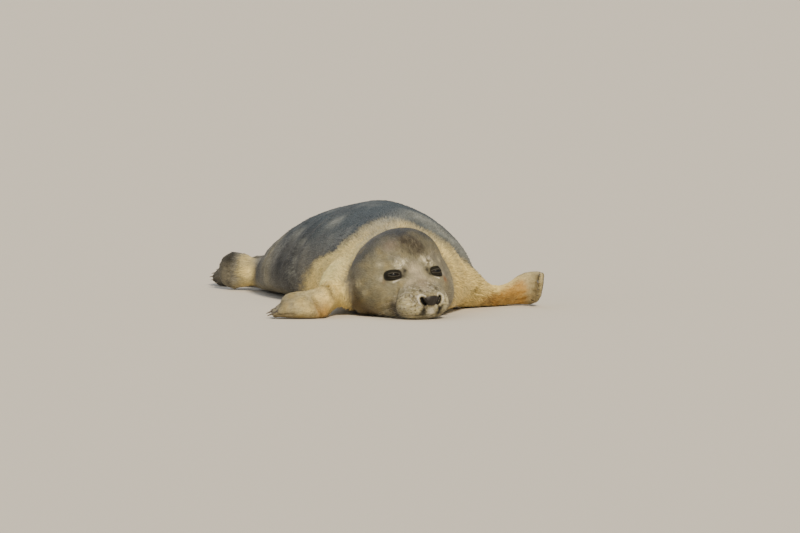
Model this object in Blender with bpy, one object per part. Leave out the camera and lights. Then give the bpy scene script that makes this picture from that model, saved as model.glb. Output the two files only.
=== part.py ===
"""A young grey seal lying on its belly with its chin down, as a life-size still model.

Metres, +Z up. The floor is z = 0. The seal faces -Y, its hind end lies back and towards -X.
The body is modelled whole from lofts, welded into one surface, and parted with thin cuts.
"""

import math

import bmesh
import bpy
import numpy as np
from mathutils import Matrix, Vector

# ---- driving dimensions -------------------------------------------------------------

CUT = 0.0004  # width of the cuts between named pieces
CLEARANCE = 0.0003  # gap between a separate piece and the flesh that holds it
PRESSED = 0.006  # how far the soft body would sink below the floor before it is flattened

# The trunk from the neck to the tail root: where its midline runs over the floor, its half
# width, and the height of the back.
TRUNK_STATIONS = (
    # x, y, half width, back height
    (-0.005, 0.084, 0.091, 0.106),
    (-0.002, 0.155, 0.106, 0.138),
    (0.001, 0.235, 0.126, 0.160),
    (-0.008, 0.320, 0.135, 0.174),
    (-0.034, 0.405, 0.143, 0.179),
    (-0.080, 0.485, 0.142, 0.166),
    (-0.124, 0.555, 0.125, 0.148),
    (-0.159, 0.610, 0.103, 0.123),
    (-0.186, 0.650, 0.081, 0.101),
    (-0.205, 0.678, 0.060, 0.079),
    (-0.218, 0.697, 0.041, 0.059),
)
TRUNK_WIDEST = 0.33  # height of the widest line, as a share of the back height
TRUNK_SLOPE = 1.64  # 2 is an ellipse; less gives shoulders and back that fall away
TRUNK_UNDERSIDE = 3.0  # squarer than an ellipse, as a belly that spreads on the floor
TRUNK_RINGS = 44

# The head, in its own frame: y runs forward from the middle of the braincase to the nose.
HEAD_CENTRE = Vector((0.0010, 0.114, 0.0))
HEAD_YAW = math.radians(22)
HEAD_ROLL = math.radians(3)
HEAD_UNDERSIDE = 2.5
HEAD_RINGS = 36
CROWN_LEAN = 0.22  # above the eyes the skull leans to its left by this much of the height
CROWN_FROM = 0.085
HEAD_STATIONS = (
    # forward, half width, crown height, underside height, widest height, roundness above
    (-0.085, 0.046, 0.118, 0.030, 0.070, 2.0),
    (-0.062, 0.070, 0.138, 0.004, 0.066, 2.0),
    (-0.032, 0.082, 0.148, -0.004, 0.062, 2.0),
    (0.000, 0.085, 0.149, -0.006, 0.057, 2.0),
    (0.026, 0.080, 0.142, -0.006, 0.052, 2.0),
    (0.048, 0.070, 0.126, -0.006, 0.046, 1.95),
    (0.068, 0.059, 0.104, -0.005, 0.039, 1.85),
    (0.086, 0.050, 0.084, -0.004, 0.033, 1.75),
    (0.103, 0.045, 0.067, -0.002, 0.029, 1.80),
    (0.118, 0.037, 0.054, 0.002, 0.028, 2.00),
    (0.129, 0.026, 0.046, 0.009, 0.028, 2.10),
)
# Soft swellings and hollows of the face: middle (side, forward, up), reach, height.
PAIRED_SWELLINGS = {
    "whisker pad": ((0.031, 0.106, 0.027), 0.016, 0.0060),
    "cheek": ((0.058, 0.040, 0.042), 0.028, 0.0035),
    "brow": ((0.033, 0.056, 0.092), 0.015, 0.0040),
    "eyelids": ((0.0415, 0.068, 0.0765), 0.013, 0.0030),
    "inner corner": ((0.024, 0.079, 0.068), 0.011, -0.0030),
    "lip corner": ((0.046, 0.082, 0.014), 0.010, -0.0030),
}
MIDLINE_SWELLINGS = {
    "nose pad": ((0.0, 0.131, 0.036), 0.011, 0.0060),
    "lip groove": ((0.0, 0.131, 0.018), 0.007, -0.0040),
    "bridge": ((0.0, 0.098, 0.068), 0.014, 0.0015),
}
EYE_RADIUS = 0.0135
EYE_CENTRE = Vector((0.0376, 0.0656, 0.0738))  # side, forward, up in the head's frame

# A flipper's section, and how closely its path is followed.
BLADE_ROUNDNESS = 2.1
BLADE_RINGS = 26
PATH_POINTS = 160
HEADING_REACH = 0.012  # a path's heading at a point is taken over this far each way

# A fore flipper laid flat: distance back from the fingertips, half width, half thickness.
FORE_STATIONS = (
    (0.285, 0.058, 0.040),
    (0.230, 0.050, 0.037),
    (0.180, 0.037, 0.028),
    (0.135, 0.027, 0.0190),
    (0.095, 0.029, 0.0155),
    (0.060, 0.031, 0.0135),
    (0.030, 0.027, 0.0100),
)
# The right hand rests with its fingers curled under, so it is thicker.
CURLED_STATIONS = (
    *FORE_STATIONS[:3],
    (0.135, 0.029, 0.0225),
    (0.095, 0.031, 0.0215),
    (0.060, 0.032, 0.0205),
    (0.030, 0.029, 0.0155),
)
# Fingers, from the thumb edge back: tip side place, tip distance from the end, base side place.
FORE_FINGERS = (
    (0.0245, 0.010, 0.0180),
    (0.0125, 0.004, 0.0090),
    (0.0000, 0.008, 0.0000),
    (-0.0125, 0.016, -0.0090),
    (-0.0240, 0.027, -0.0170),
)
FORE_FINGER_RADIUS = 0.0085
FORE_FINGER_BASE = 0.105
FORE_CLAW = (0.012, 0.0027)  # free length, radius at the root

# A hind flipper the same way.
HIND_STATIONS = (
    (0.165, 0.027, 0.0250),
    (0.125, 0.026, 0.0235),
    (0.095, 0.027, 0.0205),
    (0.065, 0.034, 0.0180),
    (0.040, 0.034, 0.0150),
    (0.020, 0.027, 0.0110),
)
HIND_FINGERS = (
    (0.0205, 0.014, 0.0160),
    (0.0105, 0.006, 0.0080),
    (0.0000, 0.003, 0.0000),
    (-0.0105, 0.006, -0.0080),
    (-0.0205, 0.014, -0.0160),
)
HIND_FINGER_RADIUS = 0.0085
HIND_FINGER_BASE = 0.095
HIND_CLAW = (0.006, 0.0018)
CLAW_ROOTED = 0.006  # length of a claw inside its finger
CLAW_RINGS, CLAW_SIDES = 5, 6
CLAW_POINT = 0.00045  # radius left at a claw's tip
FINGER_RINGS, FINGER_SIDES = 18, 16
FINGER_DEPTH = 1.15  # thickness of a finger over its width
FINGER_TAPER = (1.05, 0.80)  # share of the radius at the wrist and at the tip
FINGER_END = 0.10  # share of a finger's length over which its end rounds off
FINGER_END_LEFT = 0.02  # square of the share of the radius left at the very end
FINGER_FAN = 0.8  # below 1 the fingers spread early
CLAW_TAPER = 0.7  # below 1 a claw keeps its thickness longer
CLAW_LIFT, CLAW_DROOP = 0.8, 0.3  # of its root radius, and of its length

# Where each flipper runs, from inside the body to its fingertips, and where its thumb edge
# points at the root, halfway and at the tip.
FLIPPERS = {
    "fore_flipper_right": {
        "path": (
            (-0.064, 0.262, 0.066),
            (-0.088, 0.196, 0.056),
            (-0.104, 0.136, 0.046),
            (-0.117, 0.086, 0.033),
            (-0.140, 0.048, 0.0225),
            (-0.180, 0.036, 0.020),
            (-0.221, 0.050, 0.0115),
        ),
        "edges": ((-0.80, 0.10, -0.60), (-0.55, -0.45, -0.45), (-0.25, -0.85, -0.30)),
        "kind": "fore",
        "stations": CURLED_STATIONS,
    },
    "fore_flipper_left": {
        "path": (
            (0.052, 0.200, 0.052),
            (0.098, 0.244, 0.038),
            (0.134, 0.281, 0.021),
            (0.168, 0.304, 0.0155),
            (0.203, 0.316, 0.024),
            (0.229, 0.306, 0.033),
            (0.238, 0.276, 0.031),
            (0.236, 0.258, 0.028),
        ),
        "edges": ((0.30, -0.45, 0.84), (0.45, -0.60, 0.50), (0.05, 0.10, 1.0)),
        "kind": "fore",
        "stations": FORE_STATIONS,
    },
    "hind_flipper_right": {
        "path": (
            (-0.190, 0.618, 0.038),
            (-0.240, 0.646, 0.034),
            (-0.284, 0.672, 0.0345),
            (-0.321, 0.704, 0.0305),
        ),
        "edges": ((0.0, 0.0, 1.0), (0.05, 0.05, 1.0), (0.10, 0.10, 1.0)),
        "kind": "hind",
        "stations": HIND_STATIONS,
    },
    "hind_flipper_left": {
        "path": (
            (-0.180, 0.668, 0.036),
            (-0.216, 0.728, 0.030),
            (-0.272, 0.7640, 0.021),
            (-0.336, 0.7735, 0.014),
        ),
        "edges": ((0.35, 0.35, 0.90), (0.42, 0.48, 0.68), (0.45, 0.65, 0.38)),
        "kind": "hind",
        "stations": HIND_STATIONS,
    },
}

TAIL_PATH = ((-0.192, 0.648, 0.062), (-0.232, 0.688, 0.056), (-0.266, 0.716, 0.047))
TAIL_HALF_WIDTHS = (0.023, 0.017, 0.009)
TAIL_HALF_THICKNESSES = (0.016, 0.011, 0.007)

# The head is parted from the neck, and the neck from the trunk, by bowls in the head's frame.
HEAD_CUP = {
    "half_width": 0.094,
    "half_height": 0.097,
    "level": 0.060,
    "depth": 0.070,
    "rim": 0.045,
}
NECK_CUP = {
    "half_width": 0.108,
    "half_height": 0.115,
    "level": 0.055,
    "depth": 0.125,
    "rim": 0.060,
}
CUP_SIDES, CUP_STEPS = 18, 5
# The limbs are parted by discs: middle, direction towards the tip, radius.
LIMB_CUTS = {
    "fore_flipper_right": ((-0.112, 0.105, 0.040), (-0.45, -0.88, -0.15), 0.060),
    "fore_flipper_left": ((0.152, 0.292, 0.024), (0.85, 0.50, -0.10), 0.042),
    "hind_flipper_right": ((-0.280, 0.670, 0.036), (-0.80, 0.60, 0.0), 0.038),
    "hind_flipper_left": ((-0.240, 0.747, 0.027), (-0.80, 0.60, -0.10), 0.036),
    "tail": ((-0.242, 0.698, 0.054), (-0.76, 0.64, -0.20), 0.020),
}

# Boxes that hold the hands and feet: lowest and highest x and y.
FINE_BOXES = (
    ((0.140, 1.0), (-1.0, 1.0)),
    ((-1.0, -0.125), (-1.0, 0.13)),
    ((-1.0, 1.0), (0.735, 1.0)),
    ((-1.0, -0.262), (0.64, 1.0)),
)
FACE_MIDDLE = HEAD_CENTRE + Vector((0.025, -0.05, 0.05))
FACE_REACH = 0.12
DETAIL_KEPT = 0.94  # below 1 the triangles of the face, hands and feet are kept longer

VOXEL = 0.0032
SOFTENING = 0.5
SOFT_PASSES = 40  # smoothing of the trunk, neck and head
FINE_PASSES = 12  # smoothing everywhere, which the hands and feet also get
FLESH_TRIANGLES = 4850
RING_POINTS = 40
DISC_SIDES = 24
EYE_SEGMENTS, EYE_RINGS = 14, 9
SHARP_ANGLE = math.radians(50)

# name: sRGB colour, roughness
COAT_GREY = ((0.42, 0.41, 0.38), 0.85)
COAT_CREAM = ((0.78, 0.72, 0.56), 0.85)
EYE_DARK = ((0.03, 0.022, 0.018), 0.08)
CLAW_HORN = ((0.09, 0.075, 0.065), 0.4)


# ---- small helpers --------------------------------------------------------------------


def clear_scene():
    for obj in list(bpy.data.objects):
        bpy.data.objects.remove(obj)


def linear(channel):
    return channel / 12.92 if channel <= 0.04045 else ((channel + 0.055) / 1.055) ** 2.4


def material(name, finish):
    colour, roughness = finish
    made = bpy.data.materials.new(name)
    made.use_nodes = True
    shader = made.node_tree.nodes["Principled BSDF"]
    shader.inputs["Base Color"].default_value = (*[linear(c) for c in colour], 1.0)
    shader.inputs["Roughness"].default_value = roughness
    return made


def spline(rows, count):
    """count rows evenly spaced along a smooth curve through the given rows."""
    rows = np.array(rows, float)
    steps = np.linalg.norm(np.diff(rows[:, : min(3, rows.shape[1])], axis=0), axis=1)
    along = np.concatenate([[0.0], np.cumsum(steps)])
    slopes = np.gradient(rows, along, axis=0)
    wanted = np.linspace(0.0, along[-1], count)
    left = np.clip(np.searchsorted(along, wanted, side="right") - 1, 0, len(along) - 2)
    span = (along[left + 1] - along[left])[:, None]
    t = (wanted - along[left])[:, None] / span
    return (
        (2 * t**3 - 3 * t**2 + 1) * rows[left]
        + (t**3 - 2 * t**2 + t) * span * slopes[left]
        + (3 * t**2 - 2 * t**3) * rows[left + 1]
        + (t**3 - t**2) * span * slopes[left + 1]
    )


def new_object(name, mesh):
    obj = bpy.data.objects.new(name, mesh)
    bpy.context.scene.collection.objects.link(obj)
    return obj


def loft(name, rings):
    """A closed mesh through rings of points, with a fan at each end."""
    shape = bmesh.new()
    rows = [[shape.verts.new(point) for point in ring] for ring in rings]
    for near, far in zip(rows, rows[1:]):
        for i in range(len(near)):
            j = (i + 1) % len(near)
            shape.faces.new((near[i], near[j], far[j], far[i]))
    for row in (rows[0], rows[-1]):
        hub = shape.verts.new(sum((v.co for v in row), Vector()) / len(row))
        for i in range(len(row)):
            shape.faces.new((row[i], row[(i + 1) % len(row)], hub))
    bmesh.ops.recalc_face_normals(shape, faces=shape.faces)
    mesh = bpy.data.meshes.new(name)
    shape.to_mesh(mesh)
    shape.free()
    return new_object(name, mesh)


def rounded(angle, power):
    """Unit superellipse point, so that a section can be rounder or squarer than a circle."""
    c, s = math.cos(angle), math.sin(angle)
    return (
        math.copysign(abs(c) ** (2 / power), c),
        math.copysign(abs(s) ** (2 / power), s),
    )


def evaluated(obj, name):
    """A plain mesh object holding obj as its modifiers leave it; obj is removed."""
    graph = bpy.context.evaluated_depsgraph_get()
    mesh = bpy.data.meshes.new_from_object(obj.evaluated_get(graph))
    bpy.data.objects.remove(obj)
    mesh.name = name
    return new_object(name, mesh)


def boolean(obj, other, operation):
    """obj joined with or cut by other, which is removed."""
    cut = obj.modifiers.new("cut", "BOOLEAN")
    cut.object = other
    cut.operation = operation
    cut.solver = "EXACT"
    bpy.context.view_layer.update()
    made = evaluated(obj, obj.name)
    bpy.data.objects.remove(other)
    return made


# ---- the body's forms -----------------------------------------------------------------


def body_section(centre, across, half_width, top, bottom, widest, upper, lower):
    """A ring whose upper half is domed and whose lower half is broad, as soft flesh lies."""
    ring = []
    for i in range(RING_POINTS):
        angle = 2 * math.pi * i / RING_POINTS
        side, rise = rounded(angle, upper if math.sin(angle) >= 0 else lower)
        reach = top - widest if rise >= 0 else widest - bottom
        point = centre + across * (half_width * side)
        ring.append(Vector((point.x, point.y, widest + reach * rise)))
    return ring


def trunk_form():
    rows = spline(TRUNK_STATIONS, TRUNK_RINGS)
    heading = np.gradient(rows[:, :2], axis=0)
    rings = []
    for (x, y, half_width, top), (dx, dy) in zip(rows, heading):
        across = Vector((dy, -dx, 0.0)).normalized()
        centre = Vector((x, y, 0.0))
        widest = top * TRUNK_WIDEST
        size = (half_width, top, -PRESSED, widest)
        rings.append(body_section(centre, across, *size, TRUNK_SLOPE, TRUNK_UNDERSIDE))
    return loft("trunk_form", rings)


def head_place():
    """From the head's own frame (side, forward, up) to the world."""
    facing = Matrix.Rotation(HEAD_YAW + math.pi, 4, "Z")
    tilt = Matrix.Rotation(HEAD_ROLL, 4, "Y")
    return Matrix.Translation(HEAD_CENTRE) @ facing @ tilt


def head_form():
    place = head_place()
    rings = []
    for forward, *size, upper in spline(HEAD_STATIONS, HEAD_RINGS):
        centre = Vector((0, forward, 0))
        ring = body_section(centre, Vector((1, 0, 0)), *size, upper, HEAD_UNDERSIDE)
        for point in ring:
            point.x -= CROWN_LEAN * max(point.z - CROWN_FROM, 0.0)
        rings.append([place @ point for point in ring])
    return loft("head_form", rings)


def swell(body):
    """Raises the face's swellings and sinks its hollows, each fading out over its reach."""
    place = head_place()
    rows = [(Vector(m), r, h) for m, r, h in MIDLINE_SWELLINGS.values()]
    for middle, reach, height in PAIRED_SWELLINGS.values():
        for side in (-1, 1):
            rows.append((Vector((side * middle[0], *middle[1:])), reach, height))
    mesh = body.data
    count = len(mesh.vertices)
    places, normals = np.empty(count * 3), np.empty(count * 3)
    mesh.vertices.foreach_get("co", places)
    mesh.vertices.foreach_get("normal", normals)
    places, normals = places.reshape(-1, 3), normals.reshape(-1, 3)
    raised = np.zeros(count)
    for middle, reach, height in rows:
        far = np.linalg.norm(places - np.array(place @ middle), axis=1)
        raised += height * np.exp(-((far / reach) ** 2))
    mesh.vertices.foreach_set("co", (places + normals * raised[:, None]).ravel())
    mesh.update()


class Limb:
    """Carries a flat flipper's points (back from the tip, side, up) onto its bent path."""

    def __init__(self, path, edges, flip):
        self.points = spline(path, PATH_POINTS)
        steps = np.linalg.norm(np.diff(self.points, axis=0), axis=1)
        self.along = np.concatenate([[0.0], np.cumsum(steps)])
        self.length = self.along[-1]
        self.edges = np.array(edges, float)
        self.flip = flip

    def frame(self, back):
        """Centre, forward, thumb edge and upper side at a distance back from the tip."""
        at = self.length - back
        centre = Vector([np.interp(at, self.along, self.points[:, k]) for k in range(3)])
        if back < 0:
            centre += self.direction(self.length) * -back
        forward = self.direction(at)
        thirds = np.linspace(0.0, self.length, 3)
        edge = Vector([np.interp(at, thirds, self.edges[:, k]) for k in range(3)])
        edge = (edge - forward * edge.dot(forward)).normalized()
        return centre, forward, edge, forward.cross(edge) * self.flip

    def direction(self, at):
        steps = (-HEADING_REACH, HEADING_REACH)
        ends = [min(max(at + step, 0.0), self.length) for step in steps]
        a, b = (
            Vector([np.interp(e, self.along, self.points[:, k]) for k in range(3)])
            for e in ends
        )
        return (b - a).normalized()

    def point(self, back, side, up):
        centre, _, edge, upper = self.frame(back)
        return centre + edge * side + upper * up


def blade(name, limb, stations):
    rings = []
    for back, half_width, half_thickness in spline(stations, BLADE_RINGS):
        ring = []
        for i in range(RING_POINTS):
            side, up = rounded(2 * math.pi * i / RING_POINTS, BLADE_ROUNDNESS)
            ring.append(limb.point(back, half_width * side, half_thickness * up))
        rings.append(ring)
    return loft(name, rings)


def finger(name, limb, spec, base_back, radius):
    """One finger's swelling, from the wrist to its rounded tip."""
    tip_side, tip_back, base_side = spec
    rings = []
    for i in range(FINGER_RINGS):
        share = i / (FINGER_RINGS - 1)
        back = base_back + (tip_back - base_back) * share
        side = base_side + (tip_side - base_side) * share**FINGER_FAN
        past = max((share - 1 + FINGER_END) / FINGER_END, 0.0)
        ending = math.sqrt(max(1 - past**2, FINGER_END_LEFT))
        at_wrist, at_tip = FINGER_TAPER
        size = radius * (at_wrist + (at_tip - at_wrist) * share) * ending
        ring = []
        for j in range(FINGER_SIDES):
            angle = 2 * math.pi * j / FINGER_SIDES
            up = size * FINGER_DEPTH * math.sin(angle)
            ring.append(limb.point(back, side + size * math.cos(angle), up))
        rings.append(ring)
    return loft(name, rings)


def flipper_forms(name, spec):
    limb = limb_of(spec)
    fore = spec["kind"] == "fore"
    fingers = FORE_FINGERS if fore else HIND_FINGERS
    base = FORE_FINGER_BASE if fore else HIND_FINGER_BASE
    radius = FORE_FINGER_RADIUS if fore else HIND_FINGER_RADIUS
    forms = [blade(name + "_blade", limb, spec["stations"])]
    for row in fingers:
        forms.append(finger(name + "_finger", limb, row, base, radius))
    return forms


def limb_of(spec):
    flip = 1 if spec["kind"] == "fore" else -1
    return Limb(spec["path"], spec["edges"], flip)


def tail_form():
    limb = Limb(TAIL_PATH, [(0.81, 0.587, 0.0)] * 3, 1)
    reach = limb.length
    stations = [
        (reach * (1 - i / 2), width, thick)
        for i, (width, thick) in enumerate(zip(TAIL_HALF_WIDTHS, TAIL_HALF_THICKNESSES))
    ]
    return blade("tail_form", limb, stations)


# ---- one surface, then named pieces ---------------------------------------------------


def joined(forms, name):
    """Forms put in one mesh, as separate shells that the remesh then welds."""
    shape = bmesh.new()
    for form in forms:
        shape.from_mesh(form.data)
        bpy.data.objects.remove(form)
    mesh = bpy.data.meshes.new(name)
    shape.to_mesh(mesh)
    shape.free()
    return new_object(name, mesh)


def in_hand_or_foot(point):
    """True outside the trunk, where the fore flippers and the hind end are."""
    for (low_x, high_x), (low_y, high_y) in FINE_BOXES:
        if low_x < point.x < high_x and low_y < point.y < high_y:
            return True
    return False


def weigh(body, name, weight_of):
    group = body.vertex_groups.new(name=name)
    for vertex in body.data.vertices:
        group.add([vertex.index], weight_of(vertex.co), "REPLACE")


def soften(body, passes, group=""):
    smooth = body.modifiers.new("soften", "SMOOTH")
    smooth.factor = SOFTENING
    smooth.iterations = passes
    smooth.vertex_group = group


def detail_weight(point):
    """How readily triangles are taken away: least on the head, then the hands and feet."""
    if (point - FACE_MIDDLE).length < FACE_REACH or in_hand_or_foot(point):
        return DETAIL_KEPT
    return 1.0


def whole_body():
    forms = [trunk_form(), tail_form(), head_form()]
    for name, spec in FLIPPERS.items():
        forms += flipper_forms(name, spec)
    body = joined(forms, "body")
    weld = body.modifiers.new("weld", "REMESH")
    weld.mode = "VOXEL"
    weld.voxel_size = VOXEL
    body = evaluated(body, "body")
    weigh(body, "soft", lambda point: 0.0 if in_hand_or_foot(point) else 1.0)
    soften(body, SOFT_PASSES, "soft")
    soften(body, FINE_PASSES)
    body = evaluated(body, "body")
    swell(body)
    body.vertex_groups.clear()
    weigh(body, "thin_out", detail_weight)
    faces = sum(len(p.vertices) - 2 for p in body.data.polygons)
    thin = body.modifiers.new("thin", "DECIMATE")
    thin.ratio = FLESH_TRIANGLES / faces
    thin.vertex_group = "thin_out"
    thin.vertex_group_factor = 1.0
    thin.use_collapse_triangulate = True
    body = evaluated(body, "body")
    return flatten_on_floor(body)


def flatten_on_floor(body):
    """All that would sink into the floor is cut off level, which leaves the flats it lies on."""
    shape = bmesh.new()
    shape.from_mesh(body.data)
    everything = [*shape.verts, *shape.edges, *shape.faces]
    bmesh.ops.bisect_plane(
        shape,
        geom=everything,
        dist=1e-5,
        plane_co=(0, 0, 0),
        plane_no=(0, 0, -1),
        clear_outer=True,
    )
    edges = [e for e in shape.edges if e.is_boundary]
    bmesh.ops.holes_fill(shape, edges=edges, sides=0)
    bmesh.ops.triangulate(shape, faces=[f for f in shape.faces if len(f.verts) > 4])
    bmesh.ops.recalc_face_normals(shape, faces=shape.faces)
    shape.to_mesh(body.data)
    shape.free()
    return body


def slab(centre, normal, radius):
    """A thin disc that parts whatever it passes through."""
    shape = bmesh.new()
    bmesh.ops.create_cone(
        shape, cap_ends=True, segments=DISC_SIDES, radius1=radius, radius2=radius, depth=CUT
    )
    turn = Vector(normal).to_track_quat("Z", "Y").to_matrix().to_4x4()
    bmesh.ops.transform(
        shape, matrix=Matrix.Translation(centre) @ turn, verts=shape.verts
    )
    mesh = bpy.data.meshes.new("slab")
    shape.to_mesh(mesh)
    shape.free()
    return new_object("slab", mesh)


def loose_parts(obj):
    """Sets of vertex indices, one for each separate shell."""
    shape = bmesh.new()
    shape.from_mesh(obj.data)
    seen, parts = set(), []
    for start in shape.verts:
        if start.index in seen:
            continue
        seen.add(start.index)
        part, todo = [], [start]
        while todo:
            vert = todo.pop()
            part.append(vert.index)
            for edge in vert.link_edges:
                other = edge.other_vert(vert)
                if other.index not in seen:
                    seen.add(other.index)
                    todo.append(other)
        parts.append(part)
    shape.free()
    return sorted(parts, key=len, reverse=True)


def keep_only(obj, indices, name):
    shape = bmesh.new()
    shape.from_mesh(obj.data)
    wanted = set(indices)
    bmesh.ops.delete(
        shape, geom=[v for v in shape.verts if v.index not in wanted], context="VERTS"
    )
    mesh = bpy.data.meshes.new(name)
    shape.to_mesh(mesh)
    shape.free()
    return new_object(name, mesh)


def cup(specs):
    """A thin open-fronted bowl round the back of the head, which parts what it passes through."""
    wall = []
    for grow, order in ((0.0, 1), (-CUT, -1)):
        rings = []
        for forward, share in cup_profile(specs):
            ring = []
            for i in range(CUP_SIDES):
                angle = 2 * math.pi * i / CUP_SIDES
                side = (specs["half_width"] + grow) * share * math.cos(angle)
                rise = (specs["half_height"] + grow) * share * math.sin(angle)
                ring.append(head_place() @ Vector((side, forward - grow, specs["level"] + rise)))
            rings.append(ring)
        wall += rings[::order]
    return loft("cup", wall)


def cup_profile(specs):
    """(forward, share of the full width) from the pole at the back to the rim."""
    rows = []
    for i in range(1, CUP_STEPS + 1):
        turn = math.pi / 2 * i / CUP_STEPS
        rows.append((-specs["depth"] * math.cos(turn), math.sin(turn)))
    return rows + [(specs["rim"], 1.0)]


def part_off(body, name, cutter, inside):
    """Parts body with the cutter. The piece whose middle is nearest to inside gets the name."""
    body = boolean(body, cutter, "DIFFERENCE")
    parts = loose_parts(body)
    if len(parts) != 2:
        raise RuntimeError(f"the cut for {name} leaves {[len(part) for part in parts]}")
    middles = [
        sum((body.data.vertices[i].co for i in part), Vector()) / len(part) for part in parts
    ]
    off = min((0, 1), key=lambda i: (middles[i] - Vector(inside)).length)
    piece = keep_only(body, parts[off], name)
    rest = keep_only(body, parts[1 - off], "body")
    bpy.data.objects.remove(body)
    rest.name = "body"
    return rest, piece


def claw(name, limb, spec, size, grow=0.0):
    """A curved, tapering claw that grows from a fingertip."""
    tip_side, tip_back, _ = spec
    length, root_radius = size
    rings = []
    for i in range(CLAW_RINGS):
        share = i / (CLAW_RINGS - 1)
        back = tip_back + CLAW_ROOTED - (CLAW_ROOTED + length) * share
        back += {0: grow, CLAW_RINGS - 1: -grow}.get(i, 0.0)
        radius = root_radius * (1 - share) ** CLAW_TAPER + CLAW_POINT + grow
        lift = CLAW_LIFT * root_radius - CLAW_DROOP * length * share**2
        ring = []
        for j in range(CLAW_SIDES):
            angle = 2 * math.pi * j / CLAW_SIDES
            side = tip_side + radius * math.cos(angle)
            ring.append(limb.point(back, side, lift + radius * math.sin(angle)))
        rings.append(ring)
    return loft(name, rings)


def eye(name, side, grow=0.0):
    centre = Vector((side * EYE_CENTRE.x, EYE_CENTRE.y, EYE_CENTRE.z))
    shape = bmesh.new()
    bmesh.ops.create_uvsphere(
        shape, u_segments=EYE_SEGMENTS, v_segments=EYE_RINGS, radius=EYE_RADIUS + grow
    )
    bmesh.ops.transform(
        shape, matrix=head_place() @ Matrix.Translation(centre), verts=shape.verts
    )
    mesh = bpy.data.meshes.new(name)
    shape.to_mesh(mesh)
    shape.free()
    return new_object(name, mesh)


def cut_flesh(body):
    """The named pieces of flesh."""
    pieces = {}
    for name, specs in (("head", HEAD_CUP), ("neck", NECK_CUP)):
        body, pieces[name] = part_off(body, name, cup(specs), HEAD_CENTRE)
    for name, (centre, normal, radius) in LIMB_CUTS.items():
        path = FLIPPERS[name]["path"] if name in FLIPPERS else TAIL_PATH
        body, pieces[name] = part_off(body, name, slab(centre, normal, radius), path[-1])
    body.name = "trunk"
    pieces["trunk"] = body
    return pieces


def add_eyes(pieces):
    for name, side in (("eye_left", -1), ("eye_right", 1)):
        socket = eye(name + "_socket", side, CLEARANCE)
        pieces["head"] = boolean(pieces["head"], socket, "DIFFERENCE")
        pieces[name] = eye(name, side)


def add_claws(pieces):
    for flipper, spec in FLIPPERS.items():
        limb = limb_of(spec)
        fore = spec["kind"] == "fore"
        size = FORE_CLAW if fore else HIND_CLAW
        for number, row in enumerate(FORE_FINGERS if fore else HIND_FINGERS, 1):
            name = f"{flipper.replace('flipper', 'claw')}_{number}"
            socket = claw(name + "_socket", limb, row, size, CLEARANCE)
            pieces[flipper] = boolean(pieces[flipper], socket, "DIFFERENCE")
            pieces[name] = claw(name, limb, row, size)


def set_origin(pieces):
    """Moves the frame to the middle of the footprint, on the floor."""
    points = [v.co for piece in pieces.values() for v in piece.data.vertices]
    low = [min(p[k] for p in points) for k in range(3)]
    high = [max(p[k] for p in points) for k in range(3)]
    shift = Vector(((low[0] + high[0]) / 2, (low[1] + high[1]) / 2, low[2]))
    for piece in pieces.values():
        piece.data.transform(Matrix.Translation(-shift))
    print("origin shift", [round(v, 5) for v in shift])


def finish(pieces):
    finishes = {
        "eye": material("eye_dark", EYE_DARK),
        "claw": material("claw_horn", CLAW_HORN),
        "flipper": material("coat_cream", COAT_CREAM),
        "neck": material("coat_cream_neck", COAT_CREAM),
        "coat": material("coat_grey", COAT_GREY),
    }
    for name, piece in pieces.items():
        piece.name = name
        kind = next((k for k in finishes if k in name), "coat")
        piece.data.materials.clear()
        piece.data.materials.append(finishes[kind])
        piece.data.shade_smooth()
        piece.data.set_sharp_from_angle(angle=SHARP_ANGLE)


def main():
    clear_scene()
    pieces = cut_flesh(whole_body())
    add_eyes(pieces)
    add_claws(pieces)
    set_origin(pieces)
    finish(pieces)


main()
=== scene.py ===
# A young grey seal lying on its belly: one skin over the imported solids, a short coat of solid tufts
# on it, half closed eyes, claws and whiskers, on a plain pale floor under soft studio light.

import math

import bmesh
import bpy
import numpy as np
from mathutils import Matrix, Vector
from mathutils.bvhtree import BVHTree


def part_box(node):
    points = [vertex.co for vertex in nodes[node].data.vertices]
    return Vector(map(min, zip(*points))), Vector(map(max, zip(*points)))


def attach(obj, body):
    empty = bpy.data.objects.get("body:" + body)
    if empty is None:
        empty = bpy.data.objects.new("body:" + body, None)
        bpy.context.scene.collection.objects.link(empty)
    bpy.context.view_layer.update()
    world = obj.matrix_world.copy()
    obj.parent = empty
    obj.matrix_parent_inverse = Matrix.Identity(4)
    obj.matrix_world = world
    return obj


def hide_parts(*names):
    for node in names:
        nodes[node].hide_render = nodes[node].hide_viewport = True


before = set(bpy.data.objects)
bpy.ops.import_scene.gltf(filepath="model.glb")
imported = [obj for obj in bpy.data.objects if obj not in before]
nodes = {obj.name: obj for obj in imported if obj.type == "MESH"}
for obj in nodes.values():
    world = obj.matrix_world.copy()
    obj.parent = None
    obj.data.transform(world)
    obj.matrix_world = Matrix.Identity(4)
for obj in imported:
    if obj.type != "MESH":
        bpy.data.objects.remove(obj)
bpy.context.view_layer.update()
mm = 0.001


# #rrggbb in sRGB, as the linear colour that Blender's sockets hold.
def hexColour(text):
    channels = [int(text[i : i + 2], 16) / 255 for i in (1, 3, 5)]
    linear = [c / 12.92 if c <= 0.04045 else ((c + 0.055) / 1.055) ** 2.4 for c in channels]
    return (*linear, 1.0)


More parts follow.
